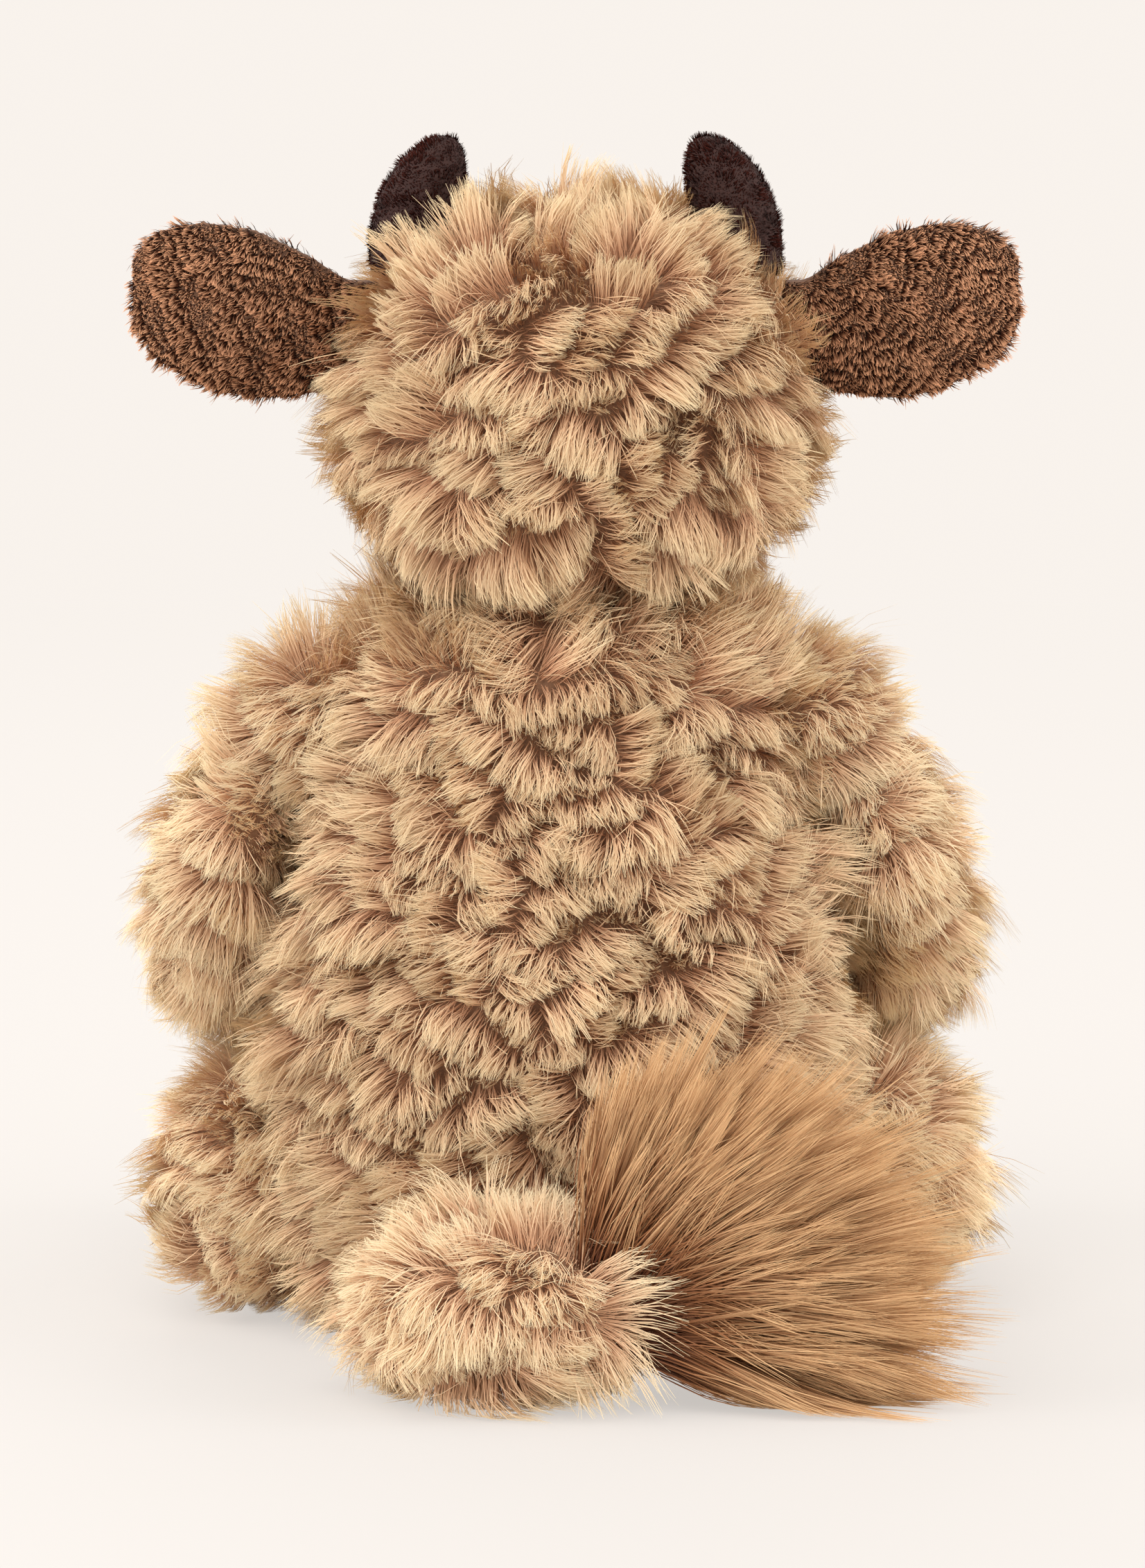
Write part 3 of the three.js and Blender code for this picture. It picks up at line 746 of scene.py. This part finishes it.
# Skins of the furred parts: body, name, rounds of smoothing, stuffing, and the covers round it
FUR_SKINS = [
    (
        "torso",
        "torso_skin",
        10,
        "body_stuffing",
        ["back_left_cover", "back_right_cover", "belly_cover", "base_cover"],
    ),
    ("head", "head_skin", 14, "head_stuffing", ["head_cover_left", "head_cover_right"]),
    ("tail", "tail_skin", 10, "tail_stuffing", ["tail_cover"]),
    ("neck", "neck_skin", 4, "neck_stuffing", []),
]
for side in SIDES:
    for limb in ("arm", "leg"):
        row = f"{limb}_{side}", f"{limb}_skin_{side}", 10, f"{limb}_stuffing_{side}"
        FUR_SKINS.append((*row, [f"{limb}_cover_{side}"]))

skins = {}
for body, name, smooth, stuffing, covers in FUR_SKINS:
    skins[body] = soft_part(
        [stuffing], name, body, PAINTED_SHADE_BACKING, voxel=0.0022, smooth=smooth, covers=covers
    )
trees = {body: tree_of(skin) for body, skin in skins.items()}


# Combs give the way that fur lies at each point
def combed(x, y, z):
    """The same way everywhere."""
    return lambda points: np.tile([x, y, z], (len(points), 1))


def centre_of(node):
    low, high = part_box(node)
    return np.array([(a + b) / 2 for a, b in zip(low, high)])


def horn_base(side):
    low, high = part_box(f"horn_{side}")
    base = centre_of(f"horn_{side}")
    base[2] = low.z + HORN_BASE_LEVEL * (high.z - low.z)
    return base


def ear_base(side):
    low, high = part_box(f"ear_{side}")
    base = centre_of(f"ear_{side}")
    base[0] = low.x if side == "left" else high.x
    return base


# Head: away from the crown behind and from the nose in front, with the fur giving way round the
# horns, the ears and the eyes, each as far as its NEAR says
CROWN = np.array([-0.003, 0.05, 0.248])
CROWN_SHARES = np.array([1.0, 0.4, 1.0])
CROWN_SIZE = 0.02
NOSE = np.array([0.0, -0.07, 0.2])
HEAD_MUDDLE = 1.8
MUDDLE_LENGTH = 0.03
FRONT_ENDS, FRONT_TO_BACK = -0.02, 0.03
HORN_BASE_LEVEL = 0.1
HORN_NEAR = 0.015
HORN_CLEAR = 0.65 * HORN_NEAR
HORN_COMB = 2.0
HORN_AWAY, HORN_OUT, HORN_UP = 0.6, 0.3, 1.1
HORN_LONGER, HORN_LONGER_OUTSIDE = 0.15, 0.9
EAR_NEAR = 0.016
EAR_COMB = 1.6
EYE_NEAR = 0.013
EYE_COMB = 3.0
EYE_CLEAR = 0.0068
SHORTER_BY_FEATURE = 0.4
HEAD_LENGTH_RANGE = (0.4, 1.7)
HORN_SPOTS = [horn_base(side) for side in SIDES]
EAR_SPOTS = [ear_base(side) for side in SIDES]
EYE_SPOTS = [centre_of(f"eye_{side}") for side in SIDES]


def comb_head(points):
    swirls = HEAD_MUDDLE * muddle(points, seeded("head_muddle"), MUDDLE_LENGTH)
    behind = (points - CROWN) * CROWN_SHARES / CROWN_SIZE + swirls
    share = ramp_up(points[:, 1:2], FRONT_ENDS, FRONT_TO_BACK)
    way = unit(behind) * share + unit(points - NOSE) * (1 - share)
    for spot in HORN_SPOTS:
        upwards = np.array([np.sign(spot[0]) * HORN_OUT, 0.0, HORN_UP])
        upwards = HORN_AWAY * unit(points - spot) + upwards
        way += upwards * HORN_COMB * closeness(points, spot, HORN_NEAR)[:, None]
    features = ((EAR_SPOTS, EAR_NEAR, EAR_COMB), (EYE_SPOTS, EYE_NEAR, EYE_COMB))
    for spots, near, strength in features:
        for spot in spots:
            way += unit(points - spot) * strength * closeness(points, spot, near)[:, None]
    return way


def head_length(points):
    """Fur is longer round the horns, most on their outer sides, and shorter by ears and eyes."""
    scale = np.ones(len(points))
    for spot in HORN_SPOTS:
        outer = np.clip(np.sign(spot[0]) * (points[:, 0] - spot[0]) / HORN_NEAR, 0, 1)
        longer = HORN_LONGER + HORN_LONGER_OUTSIDE * outer
        scale += longer * closeness(points, spot, HORN_NEAR)
    for spots, near in ((EAR_SPOTS, EAR_NEAR), (EYE_SPOTS, EYE_NEAR)):
        for spot in spots:
            scale -= SHORTER_BY_FEATURE * closeness(points, spot, near)
    return scale.clip(*HEAD_LENGTH_RANGE)


def off_horns_and_eyes(roots, normals):
    """No strand grows under a horn or an eye."""
    free = np.ones(len(roots), dtype=bool)
    for spot in HORN_SPOTS:
        free &= np.linalg.norm((roots - spot)[:, :2], axis=1) > HORN_CLEAR
    for spot in EYE_SPOTS:
        free &= np.linalg.norm(roots - spot, axis=1) > EYE_CLEAR
    return free


# Torso: down and outwards from a parting, and upwards where the shoulders meet the neck
PARTING_X = 0.004
PARTING_WIDTH = 0.025
SHOULDER_COMB_Z, SHOULDER_COMB_X = 0.144, 0.02
COMB_FADE = 0.01
SHOULDER_TOP = 0.148
TOP_FADE = 0.008
FLANK_X = 0.044
FLANK_FADE = 0.01
TORSO_OUT, TORSO_DOWN, SHOULDER_RISE = 1.1, -0.8, 1.7
TOP_LONGER, RIGHT_TOP_LONGER, FLANK_LONGER = 0.5, 0.4, 0.25


def comb_torso(points):
    way = np.zeros_like(points)
    way[:, 0] = TORSO_OUT * np.tanh((points[:, 0] - PARTING_X) / PARTING_WIDTH)
    top = ramp_up(points[:, 2], SHOULDER_COMB_Z, COMB_FADE)
    top = top * ramp_up(np.abs(points[:, 0]), SHOULDER_COMB_X, COMB_FADE)
    way[:, 2] = TORSO_DOWN + SHOULDER_RISE * top
    return way


def torso_length(points):
    """Fur is longer where the shoulders meet the neck, more so on the right, and by the limbs."""
    top = ramp_up(points[:, 2], SHOULDER_TOP, TOP_FADE)
    flank = ramp_up(np.abs(points[:, 0]), FLANK_X, FLANK_FADE)
    longer = TOP_LONGER + RIGHT_TOP_LONGER * (points[:, 0] < 0)
    return 1 + longer * top + FLANK_LONGER * flank * (1 - top)


# Limbs: outwards and down. Each side has its own length, because the photograph's sides differ.
ARM_OUT, ARM_FORWARD, ARM_DOWN, ARM_RISE = 0.6, -0.1, -0.8, 1.5
LEG_OUT, LEG_BACK, LEG_DOWN = 1.0, 0.15, -0.3
ARM_TOP = 0.146
ARM_LONGER_ON_TOP = {"left": 0.45, "right": 0.75}
LEG_LENGTH = {"left": 0.85, "right": 1.25}
LEG_LOW = 0.024
LEG_LOW_FADE = 0.016
LEG_SHORTER = 0.45


def comb_arm(sign):
    def comb(points):
        way = combed(sign * ARM_OUT, ARM_FORWARD, ARM_DOWN)(points)
        way[:, 2] = ARM_DOWN + ARM_RISE * ramp_up(points[:, 2], ARM_TOP, TOP_FADE)
        return way

    return comb


def arm_length(side):
    """Fur is longer where the shoulders meet the neck."""
    more = ARM_LONGER_ON_TOP[side]
    return lambda points: 1 + more * ramp_up(points[:, 2], ARM_TOP, TOP_FADE)


def leg_length(side):
    """Fur is shorter where a leg rests on the floor."""

    def length(points):
        low = np.clip((LEG_LOW - points[:, 2]) / LEG_LOW_FADE, 0, 1)
        return LEG_LENGTH[side] * (1 - LEG_SHORTER * low)

    return length


# Tail: away from the middle of its back
TAIL_MIDDLE = np.array([0.006, 0.1, 0.046])
TAIL_SIZE = 0.012
TAIL_MUDDLE = 0.8

# A normal with more z than this belongs to the neck's top, where the head sits
NECK_TOP_NORMAL = 0.85


def comb_tail(points):
    swirls = TAIL_MUDDLE * muddle(points, seeded("tail_muddle"), MUDDLE_LENGTH)
    return (points - TAIL_MIDDLE) / TAIL_SIZE + swirls


def neck_side(roots, normals):
    """Only the neck's sides have fur, because the head sits on its top."""
    return normals[:, 2] < NECK_TOP_NORMAL


# The limbs and the tail have a pile that lies flatter, with a paler colour and tone that are
# painted light for the light on the toy's sides
ARM_STYLE = {
    "lift": (70, 22),
    "climb": (5, 12),
    "gather": (0.08, 0.3),
    "tone_middle": 0.75,
    "fan": 0.3,
    "swirl": 22,
    "turns": 28,
    "material": PAINTED_LIGHT_FUR,
}
# The legs and the tail are painted paler still, as painted light
LEG_STYLE = {**ARM_STYLE, "tone_middle": 1.0}
TAIL_STYLE = {**LEG_STYLE, "lift": (62, 14), "gather": (0.03, 0.2)}
HEAD_STYLE = {"swirl": 36, "turns": 48, "stretch": 1.8, "tone_middle": 0.45}
NECK_STYLE = {"reach": 0.0125, "tone_middle": 0.7}


def grow_coat(name, body, comb, **style):
    """Long fur over a body's skin, bare where another skin hides it."""
    others = [tree for key, tree in trees.items() if key != body]
    carry(grow_fur(name, skins[body], comb, others=others, **style), body)


grow_coat(
    "head_fur", "head", comb_head, trim=off_horns_and_eyes, shorten=head_length, **HEAD_STYLE
)
grow_coat("torso_fur", "torso", comb_torso, shorten=torso_length)
for side, sign in SIDES.items():
    arm, leg = f"arm_{side}", f"leg_{side}"
    comb_leg = combed(sign * LEG_OUT, LEG_BACK, LEG_DOWN)
    grow_coat(f"arm_fur_{side}", arm, comb_arm(sign), shorten=arm_length(side), **ARM_STYLE)
    grow_coat(f"leg_fur_{side}", leg, comb_leg, shorten=leg_length(side), **LEG_STYLE)
grow_coat("tail_fur", "tail", comb_tail, **TAIL_STYLE)
grow_coat("neck_fur", "neck", comb_torso, trim=neck_side, **NECK_STYLE)


# Short pile: ears, horns, hooves and muzzle
EAR_STYLE = {
    "gap": 0.0024,
    "stretch": 1.0,
    "reach": 0.0016,
    "density": 1.0e7,
    "width": 0.0002,
    "lift": (55, 18),
    "climb": (0, 0),
    "swirl": 14,
    "turns": 30,
    "lock": 0.0009,
    "lock_uneven": (8, 6, 0.1),
    "wisp": 0.0006,
    "wisp_pull": 0.85,
    "gather": (0.0, 0.35),
    "stray": 0.0,
    "wave": 0.0001,
    "frizz": 0.0,
    "uneven": (10, 0.12, 12),
    "material": EAR_PILE,
    "steps": 3,
}
NAP_STYLE = {
    "gap": 0.004,
    "stretch": 0.5,
    "reach": 0.0006,
    "density": 6e6,
    "width": 0.00024,
    "lift": (65, 30),
    "climb": (0, 0),
    "swirl": 40,
    "turns": 40,
    "lock": 0.002,
    "lock_uneven": (8, 5, 0.1),
    "wisp": 0.0005,
    "wisp_pull": 0.3,
    "gather": (0.0, 0.0),
    "stray": 0.0,
    "wave": 0.0,
    "frizz": 0.0,
    "uneven": (10, 0.15, 20),
    "material": NAP,
    "steps": 2,
}
MUZZLE_STYLE = {
    "gap": 0.009,
    "stretch": 0.5,
    "reach": 0.0036,
    "density": 5e6,
    "width": 0.0002,
    "lift": (74, 46),
    "climb": (0, 0),
    "swirl": 12,
    "turns": 26,
    "lock": 0.0016,
    "lock_uneven": (10, 8, 0.1),
    "wisp": 0.0007,
    "wisp_pull": 0.6,
    "gather": (0.0, 0.25),
    "stray": 0.03,
    "wave": 0.0001,
    "frizz": 0.0,
    "bulge": 0.1,
    "fan": 0.1,
    "even": 0.85,
    "uneven": (3, 0.05, 8),
    "material": MUZZLE_PILE,
    "steps": 3,
}
EAR_OUT, EAR_DOWN = 0.8, -0.6
# Painted shade and painted light on the ear pile's tone, across the ear and up it
EAR_PAINTED_SHADING_OUT = 0.42
EAR_PAINTED_SHADING_UP = 0.3
EAR_FACE_NORMAL = 0.5
UPWARDS = combed(0.0, 0.0, 1.0)
FORWARDS = combed(0.0, -1.0, -0.35)


def painted_ear_shading(side):
    """Painted shade and painted light: the pile is darkest low down at the root of an ear and
    palest at its upper tip.
    """
    low, high = (np.array(corner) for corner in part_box(f"ear_{side}"))

    def shade(roots):
        share = (roots - low) / (high - low) - 0.5
        return EAR_PAINTED_SHADING_OUT * SIDES[side] * share[:, 0] + EAR_PAINTED_SHADING_UP * share[:, 2]

    return shade


def off_the_rim(roots, normals):
    """The rim of an ear is bare, as at a seam."""
    return np.abs(normals[:, 1]) > EAR_FACE_NORMAL


def make_ear(side):
    body = f"ear_{side}"
    solids = [f"ear_{side}", f"ear_lining_{side}"]
    ear = soft_part(
        solids, f"ear_form_{side}", body, LINING, voxel=0.0011, smooth=8
    )
    comb = combed(SIDES[side] * EAR_OUT, 0.0, EAR_DOWN)
    shade = painted_ear_shading(side)
    pile = grow_fur(f"ear_pile_{side}", ear, comb, trim=off_the_rim, shade=shade, **EAR_STYLE)
    carry(pile, body)


def make_suede_part(kind, side, body, comb, smooth):
    name = f"{kind}_form_{side}"
    solids = [f"{kind}_{side}"]
    form = soft_part(solids, name, body, SUEDE, voxel=0.0012, smooth=smooth)
    carry(grow_fur(f"{kind}_nap_{side}", form, comb, **NAP_STYLE), body)


def make_muzzle():
    muzzle = soft_part(
        ["muzzle"], "muzzle_form", "head", LINING, voxel=0.0014, smooth=8
    )
    carry(grow_fur("muzzle_pile", muzzle, FORWARDS, **MUZZLE_STYLE), "head")


for side in SIDES:
    make_ear(side)
    make_suede_part("horn", side, "head", UPWARDS, smooth=12)
    make_suede_part("arm_hoof", side, f"arm_{side}", FORWARDS, smooth=20)
    make_suede_part("leg_hoof", side, f"leg_{side}", FORWARDS, smooth=24)
make_muzzle()


# Tuft of long hair at the end of the tail: a fan in the plane of the back, towards -X, from well
# below level to almost straight up
HAIRS = 26000
HAIR_STEPS = 7
HAIR_WISPS = 1100
HAIR_WIDTH = 0.00026
HAIR_TWIST_DEG = 60
ROOT_INSET = 0.005
ROOT_LEVEL = 0.33
ROOT_HALF_HEIGHT = 0.009
ROOT_LENGTH = 0.012
ROOT_DEPTH = 0.005
FAN_MIDDLE_DEG = 30
FAN_HALF_DEG = 56
FAN_POWER = 0.92
FAN_BLUR_DEG = 3.5
FAN_DEPTH = 0.13
HAIR_FEATURES = (0.03, 0.003, 0.004)
HAIR_LENGTH = 0.07
TIP_BETA = (6, 1.2)
MIDDLE_LENGTH, OUTSIDE_SHORTER = 1.03, 0.11
HAIR_BEND = (0.16, 0.05)
HAIR_SWAY = (0.14, 0.05)
HAIR_TONE = (0.13, 0.08)
HAIR_PULL = 0.65
HAIR_PULL_POWER = 1.1

# By a hair's angle over level in degrees: its share of the tuft's length, and its droop
LENGTH_BY_ANGLE = ([-30, -8, 5, 30, 50, 70, 100], [0.98, 1.05, 1.02, 0.94, 0.87, 0.72, 0.64])
DROOP_BY_ANGLE = ([-30, 40, 102], [0.1, -0.12, -0.3])


def grow_tuft():
    random = seeded("tail_hair")
    count, steps = HAIRS, HAIR_STEPS
    low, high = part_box("tail_tuft")
    middle_y = (low.y + high.y) / 2
    root = np.array([high.x + ROOT_INSET, middle_y, low.z + ROOT_LEVEL * (high.z - low.z)])
    spread = random.uniform(-1, 1, count)
    blur = random.normal(0, FAN_BLUR_DEG, count)
    angles = FAN_MIDDLE_DEG + FAN_HALF_DEG * np.sign(spread) * np.abs(spread) ** FAN_POWER + blur
    fan = np.radians(angles)
    depth = random.normal(0, 1, count).clip(-2, 2)
    across = random.uniform(-1, 1, count)
    none = np.zeros(count)
    outward = np.stack([-np.cos(fan), none, np.sin(fan)], axis=1)
    along_edge = np.stack([-np.sin(fan), none, -np.cos(fan)], axis=1)
    roots = root + along_edge * (across * ROOT_HALF_HEIGHT)[:, None]
    roots = roots + outward * random.uniform(0, ROOT_LENGTH, count)[:, None]
    roots[:, 1] += depth * ROOT_DEPTH

    # Hairs that lie close together at their roots make up a wisp
    chief = random.choice(count, HAIR_WISPS, replace=False)
    by_fan, by_depth, by_height = HAIR_FEATURES
    features = np.stack([fan * by_fan, depth * by_depth, across * by_height], axis=1)
    member = nearest(features, features[chief], np.zeros((HAIR_WISPS, 3)), 0)

    def varied(by_wisp, by_hair):
        """Random values that the hairs of a wisp mostly share."""
        return random.normal(0, by_wisp, HAIR_WISPS)[member] + random.normal(0, by_hair, count)

    lengths = (high.x - low.x) * np.interp(np.degrees(fan), *LENGTH_BY_ANGLE)
    lengths = lengths * random.normal(1, HAIR_LENGTH, HAIR_WISPS)[member]
    lengths = lengths * random.beta(*TIP_BETA, count)
    lengths *= MIDDLE_LENGTH - OUTSIDE_SHORTER * depth**2
    bend = varied(*HAIR_BEND)
    droop = np.interp(np.degrees(fan), *DROOP_BY_ANGLE)
    sway = varied(*HAIR_SWAY)
    paths = np.empty((count, steps, 3))
    paths[:, 0] = roots
    for i in range(1, steps):
        share = (i - 0.5) / (steps - 1)
        turn = fan + (bend + droop) * share
        step = np.stack([-np.cos(turn), depth * FAN_DEPTH + sway * share, np.sin(turn)], axis=1)
        paths[:, i] = paths[:, i - 1] + unit(step) * (lengths / (steps - 1))[:, None]
    lead = paths[chief[member]]
    for i in range(1, steps):
        grown = (i / (steps - 1)) ** HAIR_PULL_POWER
        pull = HAIR_PULL * grown * random.uniform(*PULL_RANGE, count)
        paths[:, i] += (lead[:, i] - paths[:, i]) * pull[:, None]
    above_floor(paths)

    side = ways_across(paths, np.array([0, 1.0, 0]), random, HAIR_TWIST_DEG)
    widths = HAIR_WIDTH * about_one(random, count, *STRAND_WIDTH)
    by_wisp, by_hair = HAIR_TONE
    tone = 0.5 + random.normal(0, by_wisp, HAIR_WISPS)[member] + random.normal(0, by_hair, count)
    pieces = strand_pieces("tail_hair", paths, widths, side, tone, LONG_HAIR, HAIR_TAPER)
    for piece in pieces:
        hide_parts("tail_tuft")
    return pieces


carry(grow_tuft(), "tail")


# Face: the frame's own nostrils and washers, and a smooth bead for each eye
for side in SIDES:
    wear(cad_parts[f"nostril_{side}"], SUEDE)
    wear(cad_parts[f"eye_washer_{side}"], WASHER)
    bead = skin_from([f"eye_{side}"], f"eye_bead_{side}", EYE, voxel=0.00035, smooth=5)
    carry([bead], "head")
    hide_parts(f"eye_{side}")


# Stage and light
FLOOR_COLOUR = (0.695, 0.665, 0.64)
FLOOR_ROUGHNESS = 0.9
FLOOR_SHINE = 0.1
FLOOR_RADIUS = 3.0
FLOOR_SEGMENTS = 96
BACKDROP_COLOUR = (0.945, 0.892, 0.842)
AMBIENT_COLOUR = (1.0, 0.98, 0.95)
AMBIENT = 0.8

# The share of the backdrop's own colour in the floor, near the toy and far from it
GLOW_SHARE = 0.6
FLOOR_NEAR = 0.3
FLOOR_FAR = 1.5

# Name, place, target, size and power
LIGHTS = [
    ("key", (0.3, 1.2, 1.8), (0, 0, 0.13), 1.6, 15),
    ("left fill", (1.6, 0.5, 0.7), (0, 0, 0.1), 1.4, 16),
    ("right fill", (-1.6, 0.5, 0.7), (0, 0, 0.1), 1.4, 15),
    ("front", (0.3, -1.6, 1.1), (0, 0, 0.13), 1.4, 12),
]


def calculated(nodes, links, operation, first, second):
    node = nodes.new("ShaderNodeMath")
    node.operation = operation
    links.new(first, node.inputs[0])
    links.new(second, node.inputs[1])
    return node.outputs["Value"]


def mixed(nodes, links, share, first, second):
    mix = nodes.new("ShaderNodeMixShader")
    links.new(share, mix.inputs["Fac"])
    links.new(first, mix.inputs[1])
    links.new(second, mix.inputs[2])
    return mix.outputs["Shader"]


def from_afar(nodes, links):
    """1 for a ray that sees the background: straight, mirrored or through glass."""
    seen = nodes.new("ShaderNodeLightPath")
    total = seen.outputs["Is Camera Ray"]
    for kind in ("Is Glossy Ray", "Is Transmission Ray"):
        total = calculated(nodes, links, "MAXIMUM", total, seen.outputs[kind])
    return total


def glow_over_floor(nodes, links):
    """The backdrop's share in the floor's colour, which grows away from the toy."""
    coords = nodes.new("ShaderNodeTexCoord")
    gone = nodes.new("ShaderNodeVectorMath")
    gone.operation = "LENGTH"
    links.new(coords.outputs["Object"], gone.inputs[0])
    share = nodes.new("ShaderNodeMapRange")
    share.interpolation_type = "SMOOTHSTEP"
    share.inputs["From Min"].default_value = FLOOR_NEAR
    share.inputs["From Max"].default_value = FLOOR_FAR
    share.inputs["To Min"].default_value = GLOW_SHARE
    share.inputs["To Max"].default_value = 1.0
    links.new(gone.outputs["Value"], share.inputs["Value"])
    return share.outputs["Result"]


def make_stage():
    """A round pale floor that turns into the backdrop's own colour away from the toy."""
    material, nodes, links, shader = new_material("stage")
    shader.inputs["Base Color"].default_value = (*FLOOR_COLOUR, 1)
    shader.inputs["Roughness"].default_value = FLOOR_ROUGHNESS
    shader.inputs["Specular IOR Level"].default_value = FLOOR_SHINE
    glow = nodes.new("ShaderNodeEmission")
    glow.inputs["Color"].default_value = (*BACKDROP_COLOUR, 1)
    share = glow_over_floor(nodes, links)
    seen = calculated(nodes, links, "MULTIPLY", share, from_afar(nodes, links))
    floor = mixed(nodes, links, seen, shader.outputs["BSDF"], glow.outputs["Emission"])
    links.new(floor, nodes["Material Output"].inputs["Surface"])
    mesh = bpy.data.meshes.new("stage")
    disc = bmesh.new()
    bmesh.ops.create_circle(disc, cap_ends=True, segments=FLOOR_SEGMENTS, radius=FLOOR_RADIUS)
    disc.to_mesh(mesh)
    disc.free()
    mesh.materials.append(material)
    add_object("stage", mesh)


def make_light(name, place, target, size, power):
    data = bpy.data.lights.new(name, "AREA")
    data.shape = "DISK"
    data.size = size
    data.energy = power
    light = bpy.data.objects.new(name, data)
    bpy.context.scene.collection.objects.link(light)
    light.location = place
    light.rotation_euler = (Vector(target) - Vector(place)).to_track_quat("-Z", "Y").to_euler()


def make_world():
    """Soft light from all round, and the backdrop's colour where the world itself is seen."""
    world = bpy.data.worlds.new("world")
    bpy.context.scene.world = world
    world.use_nodes = True
    nodes, links = world.node_tree.nodes, world.node_tree.links
    ambient = nodes["Background"]
    ambient.inputs["Color"].default_value = (*AMBIENT_COLOUR, 1)
    ambient.inputs["Strength"].default_value = AMBIENT
    backdrop = nodes.new("ShaderNodeBackground")
    backdrop.inputs["Color"].default_value = (*BACKDROP_COLOUR, 1)
    layers = ambient.outputs["Background"], backdrop.outputs["Background"]
    sky = mixed(nodes, links, from_afar(nodes, links), *layers)
    links.new(sky, nodes["World Output"].inputs["Surface"])


make_stage()
for light in LIGHTS:
    make_light(*light)
make_world()
bpy.context.scene.view_settings.view_transform = "Standard"
